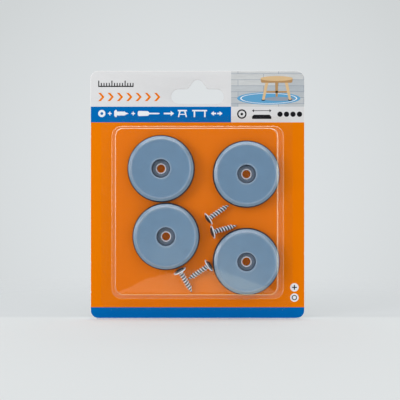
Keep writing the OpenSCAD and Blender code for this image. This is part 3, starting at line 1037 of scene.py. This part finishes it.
def make_card():
    """The printed card with its die-cut edge, cut into faces along the printed zones."""
    bm = bmesh.new()
    edge = [(inset, CARD_FRONT + depth) for inset, depth in in_mm(FRONT_EDGE)]
    edge += [(inset, CARD_BACK - depth) for inset, depth in in_mm(BACK_EDGE)]
    outer = [loop_verts(bm, shifted(card_outline(), inset), y) for inset, y in edge]
    inner = [loop_verts(bm, shifted(slot_outline(), -inset), y) for inset, y in edge]
    bridge_all(bm, outer)
    bridge_all(bm, inner)
    cap(bm, outer[0], inner[0])
    cap(bm, outer[-1], inner[-1])
    cuts = [((0, 0, z), (0, 0, 1)) for z in (TITLE_TOP, TITLE_BOTTOM, FOOT_BAND_TOP)]
    cuts.append(((TITLE_RIGHT, 0, 0), (1, 0, 0)))
    for through, facing in cuts:
        everything = bm.verts[:] + bm.edges[:] + bm.faces[:]
        bmesh.ops.bisect_plane(bm, geom=everything, dist=1e-7, plane_co=through, plane_no=facing)
    bmesh.ops.recalc_face_normals(bm, faces=bm.faces)
    bm.normal_update()
    for face in bm.faces:
        face.material_index = card_zone(face)
    settle(make_piece("printed_card", bm, CARD_FINISHES, 20), "card", "card", "card")


# Print marks, drawn in millimetres across the card

def disc(x, z, r, steps=48):
    """A round mark."""
    return arc((x, z), r, 0, 360 - 360 / steps, steps - 1)


def oval(x, z, wide, high):
    """An oval mark."""
    return [(x + a * wide, z + b * high) for a, b in disc(0, 0, 0.5)]


def ring(x, z, r, hole):
    """A ring, as its outer and inner loops."""
    return (disc(x, z, r), disc(x, z, hole))


def chevron(x, z, high, wide, stroke):
    """A chevron that points to the right."""
    low, top = z - high / 2, z + high / 2
    nose, notch = x + wide, x + wide - stroke
    return [(x, low), (x + stroke, low), (nose, z), (x + stroke, top), (x, top), (notch, z)]


def arrow(left, right, z, stroke, head):
    """An arrow that points from left to right, or back if right is less."""
    way = 1 if right > left else -1
    neck = right - way * head
    loop = [(left, z - stroke / 2), (neck, z - stroke / 2), (neck, z - head * 0.8), (right, z),
            (neck, z + head * 0.8), (neck, z + stroke / 2), (left, z + stroke / 2)]
    return loop if way > 0 else loop[::-1]


def plus_sign(x, z):
    """A plus between two signs."""
    return [(x + a, z + b) for a, b in cross_loop(PLUS_ARM, PLUS_HALF)]


def screw_sign(left, long, z, high):
    """A screw seen from its side, head to the left."""
    core, crest, turns = high * 0.2, high * 0.34, 6
    first, last = left + high * 0.42, left + long - high * 0.5
    step = (last - first) / turns
    top = []
    for k in range(turns):
        top += [(first + step * k, z + core), (first + step * (k + 0.5), z + crest)]
    top.append((last, z + core))
    low = [(x + step * 0.25 if first < x < last else x, 2 * z - height) for x, height in top]
    head = [(left, z - high * 0.3), (left + high * 0.18, z - high / 2), (left + high * 0.32, z - high / 2)]
    back = [(x, 2 * z - height) for x, height in reversed(head)]
    return head + low + [(left + long, z)] + top[::-1] + back


def driver_sign(left, long, z, high):
    """A screwdriver seen from its side, handle to the left."""
    grip, half, shaft = long * 0.46, high * 0.36, high * 0.1
    top = [(left + 0.5, z + half), (left + grip, z + half * 0.9), (left + grip + 0.7, z + half * 0.45),
           (left + grip + 0.9, z + shaft), (left + long - 1, z + shaft), (left + long, z + shaft * 0.4)]
    low = [(x, 2 * z - height) for x, height in top]
    return [(left, z + half * 0.5), (left, z - half * 0.5)] + low + top[::-1]


def stool_sign(x, wide, low, high):
    """A stool seen from its side, as four loops."""
    top, seat, half, leg = low + high, high * 0.2, wide / 2, wide * 0.14
    under = top - seat
    right = [(x + half - leg, low), (x + half, low), (x + half - leg, under), (x + half - 2.2 * leg, under)]
    left = [(2 * x - a, b) for a, b in reversed(right)]
    rung = bar(x - half + 1.6 * leg, low + high * 0.32, x + half - 1.6 * leg, low + high * 0.44)
    return [bar(x - half, under, x + half, top), right, left, rung]


def table_sign(x, wide, low, high):
    """A table seen from its side, as three loops."""
    half, leg, top = wide / 2, high * 0.2, low + high
    left = bar(x - half + leg, low, x - half + 2 * leg, top - leg)
    right = bar(x + half - 2 * leg, low, x + half - leg, top - leg)
    return [left, right, bar(x - half, top - leg, x + half, top)]


def print_film(name, shapes, ink, lift=1):
    """Ink films on the card's front; a shape is a loop, or an outer and an inner one; lift is in films."""
    bm = bmesh.new()
    front = CARD_FRONT - lift * FILM_T
    back = CARD_FRONT + FILM_SINK
    for shape in shapes:
        loops = shape if isinstance(shape, tuple) else (shape,)
        sides = [in_mm(loop) for loop in loops]
        near = [loop_verts(bm, side, front) for side in sides]
        far = [loop_verts(bm, side, back) for side in sides]
        for a, b in zip(near, far):
            bridge(bm, a, b)
        if len(loops) == 2:
            bridge(bm, near[0], near[1])
            bridge(bm, far[0], far[1])
        else:
            cap(bm, near[0])
            cap(bm, far[0])
    settle(make_piece(name, bm, (ink,)), "card", "card")


def title_signs():
    """The title band's row: glide and screw and driver, and what they go under."""
    z, high = TITLE_ROW_Z, TITLE_SIGN_H
    low = z - high / 2
    glide_x, radius, hole = TITLE_GLIDE
    shapes = [ring(glide_x, z, radius, hole)]
    shapes += [plus_sign(x, z) for x in TITLE_PLUSES_X]
    shapes += [screw_sign(*TITLE_SCREW, z, high), driver_sign(*TITLE_DRIVER, z, high)]
    shapes += stool_sign(*TITLE_STOOL, low, high) + table_sign(*TITLE_TABLE, low, high)
    return shapes + [arrow(tail, tip, z, TITLE_STROKE, head) for tail, tip, head in TITLE_ARROWS]


def header_chevrons():
    """A row of chevrons in the header."""
    x, z = CHEVRON_FIRST
    return [chevron(x + CHEVRON_STEP * k, z, *CHEVRON_SIZE) for k in range(CHEVRONS)]


def header_scale():
    """A short measuring scale without figures, with a long tick at every fifth."""
    shapes = [bar(*SCALE_SIDES)]
    for k in range(TICKS):
        x = SCALE_SIDES[0] + TICK_STEP * k
        tall = LONG_TICK if k % 5 == 0 else SHORT_TICK
        shapes.append(bar(x, TICK_LOW, x + TICK_W, TICK_LOW + tall))
    return shapes


def info_signs():
    """A glide's width and the count of glides, as signs."""
    left, right, foot, shoulder, top, slope, rounding = WIDTH_SIDE
    side = [(left, foot), (right, foot), (right, shoulder)]
    side += [(right - slope, top), (left + slope, top), (left, shoulder)]
    middle = (left + right) / 2
    count_x, count_z = COUNT_FIRST
    shapes = [ring(*WIDTH_GLIDE, *WIDTH_GLIDE_RING), disc(*WIDTH_GLIDE, WIDTH_GLIDE_HOLE_R)]
    shapes.append(softened(side, rounding))
    shapes += [arrow(middle, end, WIDTH_ARROW_Z, *WIDTH_ARROW) for end in (right, left)]
    return shapes + [disc(count_x + COUNT_STEP * k, count_z, COUNT_R) for k in range(len(GLIDE_NUMBERS))]


def corner_signs():
    """A cross and a ring, for the two spots at the lower right."""
    x, z = CORNER_X, CORNER_CROSS_Z
    arm, half = CORNER_CROSS
    level = bar(x - arm, z - half, x + arm, z + half)
    upright = bar(x - half, z - arm, x + half, z + arm)
    return [ring(x, CORNER_RING_Z, *CORNER_RING), level, upright]


def make_print():
    """Everything printed over the card's colour zones."""
    spots = [disc(CORNER_X, z, CORNER_SPOT_R) for z in (CORNER_CROSS_Z, CORNER_RING_Z)]
    print_film("title_signs", title_signs(), MARK_WHITE)
    print_film("header_chevrons", header_chevrons(), MARK_ORANGE)
    print_film("header_scale", header_scale(), MARK_BLACK)
    print_film("info_signs", info_signs(), MARK_BLACK)
    print_film("corner_spots", spots, MARK_WHITE)
    print_film("corner_signs", corner_signs(), MARK_BLACK, 1.5)


def make_picture():
    """The picture: a stool that stands on a round rug, on planks."""
    left_leg = [(2 * STOOL_X - x, z) for x, z in reversed(STOOL_LEG)]
    outer, inner = (oval(*RUG, *size) for size in RUG_BAND)
    print_film("picture_rug", [oval(*RUG, *RUG_SIZE)], MARK_RUG, 1)
    print_film("picture_rug_band", [(outer, inner)], MARK_WHITE, 2)
    print_film("picture_shade", [oval(*STOOL_SHADE)], MARK_SHADE, 3)
    print_film("picture_rear_leg", [STOOL_REAR_LEG, bar(*STOOL_RUNG)], MARK_TAN_SHADE, 4)
    print_film("picture_feet", [oval(*foot) for foot in STOOL_FEET], MARK_BLACK, 5)
    print_film("picture_legs", [STOOL_LEG, left_leg], MARK_TAN, 6)
    print_film("picture_seat_side", [softened(STOOL_SEAT, STOOL_SEAT_R)], MARK_TAN_SHADE, 7)
    print_film("picture_seat_top", [oval(*STOOL_TOP)], MARK_TAN, 8)


# Blister

def humps(place, rows):
    """How far a wall is pushed at a place along it, by rows of depth, middle and width."""
    pushed = 0.0
    for depth, middle, width in rows:
        pushed += depth * math.exp(-(((place - middle * MM) / (width * MM)) ** 2))
    return pushed


def dent(x, z, height):
    """How far the drawn wall is pushed in or out at a place, across the card."""
    rise = height / DOME_DEPTH
    belly = max(0.0, 4 * rise * (1 - rise))
    right = 1.0 if x > FACE_SIDES[1] - DOME_LEAN else 0.0
    bottom = 1.0 if z < FACE_SIDES[2] + DOME_LEAN and height > 1.2 * SHEET_T else 0.0
    pinch = right * belly * humps(z, RIGHT_DENTS)
    swell = bottom * (1 - rise) * humps(x, LOW_SWELLS)
    return -pinch * MM, -swell * MM


def ripple(x, z):
    """How far the drawn face bows out of its plane."""
    return RIPPLE_H * (math.sin(x / RIPPLE_ACROSS + 0.6) + math.sin(z / RIPPLE_UP + 1.1))


def wall_section(depth):
    """The sheet's section as (inset from the dome's foot, height), at a depth below its outer skin."""
    slope = math.degrees(math.atan2(DOME_DEPTH - SHEET_T, DOME_LEAN))
    half = math.tan(math.radians(slope / 2))
    foot_middle = (-FOOT_R * half, SHEET_T + FOOT_R)
    face_middle = (DOME_LEAN + FACE_R * half, DOME_DEPTH - FACE_R)
    foot = arc(foot_middle, FOOT_R + depth, -90, slope - 90, FILLET_STEPS)
    face = arc(face_middle, FACE_R - depth, 90 + slope, 90, FILLET_STEPS)
    rim = (-FLANGE_W, SHEET_T - depth)
    flange = [rim] + between(rim, foot[0], FLANGE_STEPS)
    return flange + foot + between(foot[-1], face[0], WALL_STEPS) + face


def sheet_outline(inset):
    """The sheet's outline at one inset from the dome's foot, as four corners and four sides."""
    share = inset / DOME_LEAN if inset > 0 else -inset / FLANGE_W
    sides, end_r = (FACE_SIDES, FACE_CORNER_R) if inset > 0 else (RIM_SIDES, FLANGE_CORNER_R)
    left, right, low, high = (a + (b - a) * share for a, b in zip(FOOT_SIDES, sides))
    corner_r = FOOT_CORNER_R + (end_r - FOOT_CORNER_R) * share
    middles = bar(left + corner_r, low + corner_r, right - corner_r, high - corner_r)
    middles = middles[2:] + middles[:2]
    corners = []
    for k, middle in enumerate(middles):
        corners.append(arc(middle, corner_r, 90 * k, 90 * k + 90, SHEET_CORNER_STEPS))
    outline = []
    for corner, following in zip(corners, corners[1:] + corners[:1]):
        outline += corner + between(corner[-1], following[0], SHEET_SIDE_STEPS)
    return outline


def sheet_skin(bm, depth):
    """One skin of the blister, from the rim of its flange to the middle of its face; returns its rim."""
    rings = []
    for inset, height in wall_section(depth):
        points = []
        for x, z in sheet_outline(inset):
            shift_x, shift_z = dent(x, z, height + depth)
            points.append((x + shift_x, SHEET_HIGH.y - height, z + shift_z))
        rings.append([bm.verts.new(point) for point in points])
    border = [vert.co.copy() for vert in rings[-1]]
    for k in range(1, FACE_RINGS):
        share = 1 - k / FACE_RINGS
        points = []
        for edge in border:
            x = DOME_MIDDLE[0] + (edge.x - DOME_MIDDLE[0]) * share
            z = DOME_MIDDLE[1] + (edge.z - DOME_MIDDLE[1]) * share
            points.append((x, edge.y - ripple(x, z) * (1 - share ** 4), z))
        rings.append([bm.verts.new(point) for point in points])
    bridge_all(bm, rings)
    level = sum(vert.co.y for vert in rings[-1]) / len(rings[-1])
    middle = bm.verts.new((DOME_MIDDLE[0], level, DOME_MIDDLE[1]))
    for k, vert in enumerate(rings[-1]):
        bm.faces.new((rings[-1][k - 1], vert, middle))
    return rings[0]


def make_blister():
    """The clear blister, both skins and the cut edge of its flange."""
    bm = bmesh.new()
    bridge(bm, sheet_skin(bm, 0.0), sheet_skin(bm, SHEET_T))
    settle(make_piece("clear_blister", bm, (SHEET,), 40), "blister", "blister", "blister")


# Glides

def pad_profile():
    """The slide pad's section: rolled edge, low ridge, flat face, a raised lip and the recess's wall."""
    ridge = in_mm(PAD_RIDGE)
    skirt = [(PAD_SKIRT_R, PAD_UNDER), (PAD_SKIRT_R, BASE_EDGE_H)]
    skirt += [(PAD_R - PAD_CHAMFER, BASE_EDGE_H), (PAD_R, BASE_EDGE_H + PAD_CHAMFER)]
    edge = eased((PAD_R, BASE_EDGE_H), (PAD_R, PAD_SHOULDER_H), ridge[0], PAD_SHOULDER_R, 6)
    lip = in_mm(PAD_LIP) + arc((RECESS_R + LIP_ROUND_R, LIP_TOP - LIP_ROUND_R), LIP_ROUND_R, 90, 180, 8)
    wall = [(RECESS_R, PAD_SHOULDER_H), (RECESS_R, RECESS_FLOOR)]
    wall += [(RECESS_WALL_R, RECESS_FLOOR), (RECESS_WALL_R, PAD_UNDER)]
    return skirt + edge + ridge + in_mm(PAD_FACE) + lip + wall


def base_profile():
    """The rubber base's section, from the eyelet's seat round its foot and rim to the pad's seat."""
    tube = [(TUBE_R, RECESS_FLOOR), (TUBE_R, RIM_T), (RIM_R, RIM_T), (RIM_R, 0.0)]
    foot = arc((GLIDE_R - BASE_FOOT_R, BASE_FOOT_R), BASE_FOOT_R, -90, 0, 6)
    bead = [(GLIDE_R, BEAD_H - BEAD_HALF), (GLIDE_R + BEAD_RISE, BEAD_H), (GLIDE_R, BEAD_H + BEAD_HALF)]
    rim = arc((GLIDE_R - BASE_RIM_R, BASE_EDGE_H - BASE_RIM_R), BASE_RIM_R, 0, 90, 3)
    seat = [(PAD_SKIRT_R, BASE_EDGE_H), (PAD_SKIRT_R, PAD_UNDER), (RECESS_WALL_R, PAD_UNDER)]
    seat += [(RECESS_WALL_R, RECESS_FLOOR), (SEAT_R, RECESS_FLOOR)]
    return tube + foot + bead + rim + seat


def seat_profile():
    """The raised land round the eyelet, on the floor of the recess."""
    return [(radius, RECESS_FLOOR + height) for radius, height in in_mm(SEAT_LAND)]


def eyelet_profile():
    """The eyelet's section: a thin tube with a rolled rim at each end."""
    top = RECESS_FLOOR + RIM_T
    under = [(HOLE_R, THROAT_R), (HOLE_R + THROAT_R, 0.0), (RIM_R - EYELET_FOOT, 0.0), (RIM_R, EYELET_FOOT)]
    tube = [(RIM_R, RIM_T), (TUBE_R, RIM_T), (TUBE_R, RECESS_FLOOR), (RIM_R, RECESS_FLOOR)]
    roll = arc((RIM_R - RIM_ROLL_R, top - RIM_ROLL_R), RIM_ROLL_R, 0, 90, 8)
    throat = arc((HOLE_R + THROAT_R, top - THROAT_R), THROAT_R, 90, 180, 6)
    return under + tube + roll + throat


def eyelet_bore():
    """The inside of the eyelet's tube."""
    return [(HOLE_R, RECESS_FLOOR), (HOLE_R, RIM_T)]


def turned_piece(name, sides, *stretches):
    """A piece turned about a glide's axis; each stretch of its closed section has a finish of its own."""
    bm = bmesh.new()
    profile = [point for points, _ in stretches for point in points]
    rings = turned_rings(bm, profile, sides, about_glide_axis)
    bands = bridge_all(bm, rings + rings[:1])
    owners = [k for k, (points, _) in enumerate(stretches) for _ in points]
    for band, here, ahead in zip(bands, owners, owners[1:] + owners[:1]):
        for face in band:
            face.material_index = here if here == ahead else 0
    return make_piece(name, bm, [finish for _, finish in stretches])


def make_glide(number):
    """One glide: base, pad and eyelet, where the frame has its base."""
    low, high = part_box(f"rubber_base_{number}")
    place = ((low.x + high.x) / 2, high.y, (low.z + high.z) / 2)
    body = f"glide_{number}"
    base = turned_piece(f"glide_base_{number}", GLIDE_SIDES, (base_profile(), BASE), (seat_profile(), SEAT))
    pad = turned_piece(f"glide_pad_{number}", GLIDE_SIDES, (pad_profile(), PAD))
    rims = (eyelet_profile(), EYELET_STEEL)
    eyelet = turned_piece(f"glide_eyelet_{number}", EYELET_SIDES, rims, (eyelet_bore(), EYELET_BORE_SHADE))
    for piece, slot in ((base, "rubber_base"), (pad, "slide_pad"), (eyelet, "eyelet")):
        piece.location = place
        settle(piece, body, slot, f"{slot}_{number}")


# Screws

def shank_radius(turn, x):
    """The threaded shank's radius at one angle, in turns, and distance from under the head."""
    phase = (x / PITCH - turn) % 1.0
    height = 0.0
    section = THREAD_SECTION + ((1.0, 0.0),)
    for (start, low), (stop, high) in zip(section, section[1:]):
        if start <= phase <= stop:
            height = low + (high - low) * (phase - start) / (stop - start)
    taper = min(1.0, max(0.0, (SCREW_L - x) / POINT_L))
    run_out = min(1.0, max(0.0, x / THREAD_RUN_OUT))
    core = TIP_R + (CORE_R - TIP_R) * taper
    return core + height * taper * run_out * (THREAD_R - CORE_R)


def shank_mesh(bm):
    """The threaded shank, as a band that winds along the thread from inside the head to the point."""
    start = -HEAD_RIM_T / 2
    first = math.floor(start / PITCH) - 2
    last = math.ceil(SCREW_L / PITCH) + 1
    grid = []
    for n in range((last - first) * THREAD_SIDES):
        column = []
        turn = (n % THREAD_SIDES) / THREAD_SIDES
        for share, _ in THREAD_SECTION:
            x = min(max(PITCH * (first + share + n / THREAD_SIDES), start), SCREW_L)
            radius = shank_radius(turn, x)
            column.append(bm.verts.new(about_screw_axis(radius, 2 * math.pi * turn, x)))
        grid.append(column)
    for n in range(len(grid) - THREAD_SIDES - 1):
        near = grid[n] + grid[n + THREAD_SIDES][:1]
        far = grid[n + 1] + grid[n + 1 + THREAD_SIDES][:1]
        for row in range(len(THREAD_SECTION)):
            bm.faces.new((near[row], far[row], far[row + 1], near[row + 1]))
    bmesh.ops.remove_doubles(bm, verts=bm.verts, dist=1e-7)
    bmesh.ops.dissolve_degenerate(bm, edges=bm.edges, dist=1e-7)
    loose = [vert for vert in bm.verts if not vert.link_faces]
    bmesh.ops.delete(bm, geom=loose, context="VERTS")
    open_edges = [edge for edge in bm.edges if edge.is_boundary]
    bmesh.ops.holes_fill(bm, edges=open_edges, sides=0)


def head_profile():
    """The washer head's section as (radius, distance along the screw), without the points on the axis."""
    washer = [(radius, -height) for radius, height in in_mm(WASHER)]
    rise = HEAD_H - HEAD_DOME_FOOT
    dome = []
    for k in range(1, 7):
        turn = math.radians(12 * k)
        dome.append((HEAD_DOME_R * math.cos(turn), -HEAD_DOME_FOOT - rise * math.sin(turn)))
    return washer + dome + [(HEAD_TOP_R, -HEAD_H)]


def head_mesh(bm):
    """The washer head, whole."""
    rings = turned_rings(bm, head_profile(), THREAD_SIDES, about_screw_axis)
    bridge_all(bm, rings)
    bm.faces.new(rings[0])
    bm.faces.new(rings[-1])


def cross_mesh(bm):
    """The tool that cuts the cross recess: two crossed blades, narrower at the bottom."""
    top, bottom = -HEAD_H - CROSS_W, -HEAD_H + CROSS_DEPTH
    rings = []
    for x, long, wide in ((top, CROSS_L, CROSS_W * 1.15), (bottom, CROSS_L * 0.45, CROSS_W * 0.6)):
        rings.append([bm.verts.new((x, a, b)) for a, b in cross_loop(long / 2, wide / 2)])
    bridge_all(bm, rings)
    bm.faces.new(rings[0])
    bm.faces.new(rings[1])


def drilled_head():
    """The washer head with its cross recess cut, as a mesh."""
    pieces = []
    for name, build in (("whole_head", head_mesh), ("cross_tool", cross_mesh)):
        bm = bmesh.new()
        build(bm)
        pieces.append(make_piece(name, bm, ()))
    head, cross = pieces
    cut = head.modifiers.new("cross_recess", "BOOLEAN")
    cut.operation = "DIFFERENCE"
    cut.solver = "EXACT"
    cut.object = cross
    bpy.context.view_layer.update()
    shape = bpy.data.meshes.new_from_object(head.evaluated_get(bpy.context.evaluated_depsgraph_get()))
    for piece in pieces:
        bpy.data.objects.remove(piece)
    return shape


def make_screws():
    """Four screws, each along the axis that the frame gives it."""
    joints = {joint["name"]: joint for joint in frame["joints"]}
    upright = Matrix.Rotation(math.pi / 2, 4, "X")
    head = drilled_head()
    for number in SCREW_NUMBERS:
        bm = bmesh.new()
        shank_mesh(bm)
        bm.from_mesh(head)
        screw = make_piece(f"threaded_screw_{number}", bm, (SCREW_ZINC,), 38)
        joint = joints[f"screw_{number}_spin"]
        axis = Vector(joint["axis"])
        heading = Matrix.Rotation(math.atan2(axis.z, axis.x), 4, "Z")
        tilt = Matrix.Rotation(math.asin(axis.y), 4, "Y")
        screw.matrix_world = Matrix.Translation(joint["pos_m"]) @ upright @ heading @ tilt
        settle(screw, f"screw_{number}", "screw", f"screw_{number}")


# Stage

FLOOR_Z = CARD_LOW.z
FLOOR_HALF_W = 1.2
FLOOR_FRONT = -1.2
# Stretches over which the floor changes: depths behind the card's back, and distances beside its middle
FLOOR_FADE = (20 * MM, 240 * MM)
FLOOR_TURN = (1 * MM, 8 * MM)
# Depths in front of the card over which the painted light comes in
FLOOR_LIGHT_DEPTHS = (-70 * MM, -8 * MM)
FLOOR_BESIDE = (CARD_HIGH.x - 10 * MM, CARD_HIGH.x + 20 * MM)
FLOOR_CONTACT = (3 * MM, 14 * MM)
FLOOR_LIFT = 0.5
GLINT_MIDDLE = (0.0, -90 * MM)
GLINT_SIZE = (112 * MM, 464 * MM)
# Left, near, right and far side of the strip that the blister's lower edge mirrors
FOOT_GLINT_SIDES = (-52 * MM, -22 * MM, 52 * MM, -10 * MM)
CAMERA_PLACE = (1.4 * MM, -450.6 * MM, -68.4 * MM)
CAMERA_LENS = 71.2
AIM = Vector((0.0, 0.0, -70 * MM))
DAYLIGHT = 0.88
# How far a view turns to the front, from -1 to 1, where the room darkens and where the backdrop glows
ROOM_TURN = (0.86, 0.975)
BACKDROP_TURN = (-0.946, -0.9995)
# Lamps: name, place, width, height, power, and whether it lights the pack or only shows in reflections
LAMPS = (
    ("left_box", (-1.6, -1.2, 0.20), 0.64, 1.28, 15.4, True),
    ("top_gleam", (0.0, -0.40, 1.0), 2.0, 0.60, 11.0, False),
    ("side_gleam", (1.2, -0.17, -0.07), 0.30, 1.20, 5.2, False),
)


def floor_paper():
    """Pale paper, a little darker behind the card, where it fades into the backdrop, and lighter in front of
    the card beside its middle, a painted light that offsets the card's shade.
    """
    material, tree, output = new_material("floor_paper")
    where = own_place(tree)
    grain = noise(tree, where, PAPER_GRAIN, 3.0)
    spot = parts(tree, where)
    depth = spot["Y"]
    behind = remap(tree, depth, *FLOOR_TURN)
    # Painted light on the floor in front of the card, only beside its middle
    beside = remap(tree, calc(tree, "ABSOLUTE", spot["X"]), *FLOOR_BESIDE, 1.0, 0.0)
    painted_light = times(tree, remap(tree, depth, *FLOOR_LIGHT_DEPTHS), beside)
    paper = mixed(tree, behind, mixed(tree, painted_light, FLOOR_PAPER, FLOOR_PAINTED_LIGHT), FLOOR_BEHIND)
    matte = principled(tree, {
        "Base Color": brightened(tree, paper, spread(tree, grain, 0.985, 1.015)),
        "Roughness": spread(tree, grain, 0.7, 0.8),
        "Specular IOR Level": 0.0,
    })
    open_floor = remap(tree, calc(tree, "ABSOLUTE", depth), *FLOOR_CONTACT, 0.0, FLOOR_LIFT)
    seen = times(tree, add(tree, "ShaderNodeLightPath").outputs["Is Camera Ray"], open_floor)
    glow = add(tree, "ShaderNodeEmission", {"Color": mixed(tree, behind, FLOOR_GLOW, ROOM)})
    lifted = blend(tree, seen, matte, glow.outputs["Emission"])
    clear = add(tree, "ShaderNodeBsdfTransparent").outputs["BSDF"]
    finish_with(tree, output, blend(tree, remap(tree, depth, *FLOOR_FADE), lifted, clear))
    return material


def make_floor():
    """The floor that the card stands on."""
    bm = bmesh.new()
    corners = bar(-FLOOR_HALF_W, FLOOR_FRONT, FLOOR_HALF_W, FLOOR_FADE[1])
    bm.faces.new([bm.verts.new((x, y, FLOOR_Z)) for x, y in corners])
    floor = make_piece("floor", bm, (floor_paper(),))
    floor.visible_glossy = False


def make_glint(name, outline, colour):
    """A warm patch just over the floor that shows only in the blister's reflections."""
    material, tree, output = new_material(name)
    finish_with(tree, output, add(tree, "ShaderNodeEmission", {"Color": colour}).outputs["Emission"])
    bm = bmesh.new()
    bm.faces.new([bm.verts.new((x, y, FLOOR_Z + MM)) for x, y in outline])
    bmesh.ops.remove_doubles(bm, verts=bm.verts, dist=1e-6)
    glint = make_piece(name, bm, (material,))
    glint.visible_camera = False
    glint.visible_diffuse = False
    glint.visible_transmission = False
    glint.visible_shadow = False


def make_camera():
    """The camera, square on to the card."""
    camera = bpy.data.objects.new("camera", bpy.data.cameras.new("camera"))
    camera.location = CAMERA_PLACE
    camera.rotation_euler = (math.pi / 2, 0, 0)
    camera.data.lens = CAMERA_LENS
    camera.data.sensor_width = 36.0
    camera.data.clip_start = 0.01
    bpy.context.scene.collection.objects.link(camera)
    bpy.context.scene.camera = camera


def make_lamp(name, place, wide, high, power, lights):
    """A soft box that faces the pack."""
    light = bpy.data.lights.new(name, "AREA")
    light.shape = "RECTANGLE"
    light.size = wide
    light.size_y = high
    light.energy = power
    lamp = bpy.data.objects.new(name, light)
    lamp.location = place
    lamp.rotation_mode = "QUATERNION"
    lamp.rotation_quaternion = (AIM - Vector(place)).to_track_quat("-Z", "Y")
    lamp.visible_diffuse = lights
    bpy.context.scene.collection.objects.link(lamp)


def make_world():
    """A pale studio: a backdrop for the camera, daylight, and a room, dark in front, for reflections."""
    world = bpy.data.worlds.new("studio")
    bpy.context.scene.world = world
    world.use_nodes = True
    tree = world.node_tree
    tree.nodes.clear()
    way = add(tree, "ShaderNodeTexCoord").outputs["Generated"]
    front = times(tree, parts(tree, way)["Y"], -1.0)
    mirrored = mixed(tree, remap(tree, front, *ROOM_TURN), ROOM, ROOM_FRONT)
    glow = mixed(tree, remap(tree, front, *BACKDROP_TURN), BACKDROP, BACKDROP_GLOW)
    path = add(tree, "ShaderNodeLightPath").outputs
    seen = calc(tree, "MAXIMUM", path["Is Camera Ray"], path["Is Transmission Ray"])
    sky = add(tree, "ShaderNodeBackground", {"Color": DAYLIGHT_WHITE, "Strength": DAYLIGHT}).outputs[0]
    room = add(tree, "ShaderNodeBackground", {"Color": mirrored}).outputs[0]
    backdrop = add(tree, "ShaderNodeBackground", {"Color": glow}).outputs[0]
    lit = blend(tree, path["Is Glossy Ray"], sky, room)
    finish_with(tree, add(tree, "ShaderNodeOutputWorld"), blend(tree, seen, lit, backdrop))


def make_stage():
    """Floor, reflections, camera, world and lamps."""
    make_floor()
    half_oval = [(x, min(y, GLINT_MIDDLE[1])) for x, y in oval(*GLINT_MIDDLE, *GLINT_SIZE)]
    make_glint("floor_glint", half_oval, GLINT)
    make_glint("foot_glint", bar(*FOOT_GLINT_SIDES), FOOT_GLINT)
    make_camera()
    make_world()
    for lamp in LAMPS:
        make_lamp(*lamp)
    bpy.context.scene.view_settings.view_transform = "Standard"


make_stage()
make_card()
make_print()
make_picture()
make_blister()
for glide_number in GLIDE_NUMBERS:
    make_glide(glide_number)
make_screws()
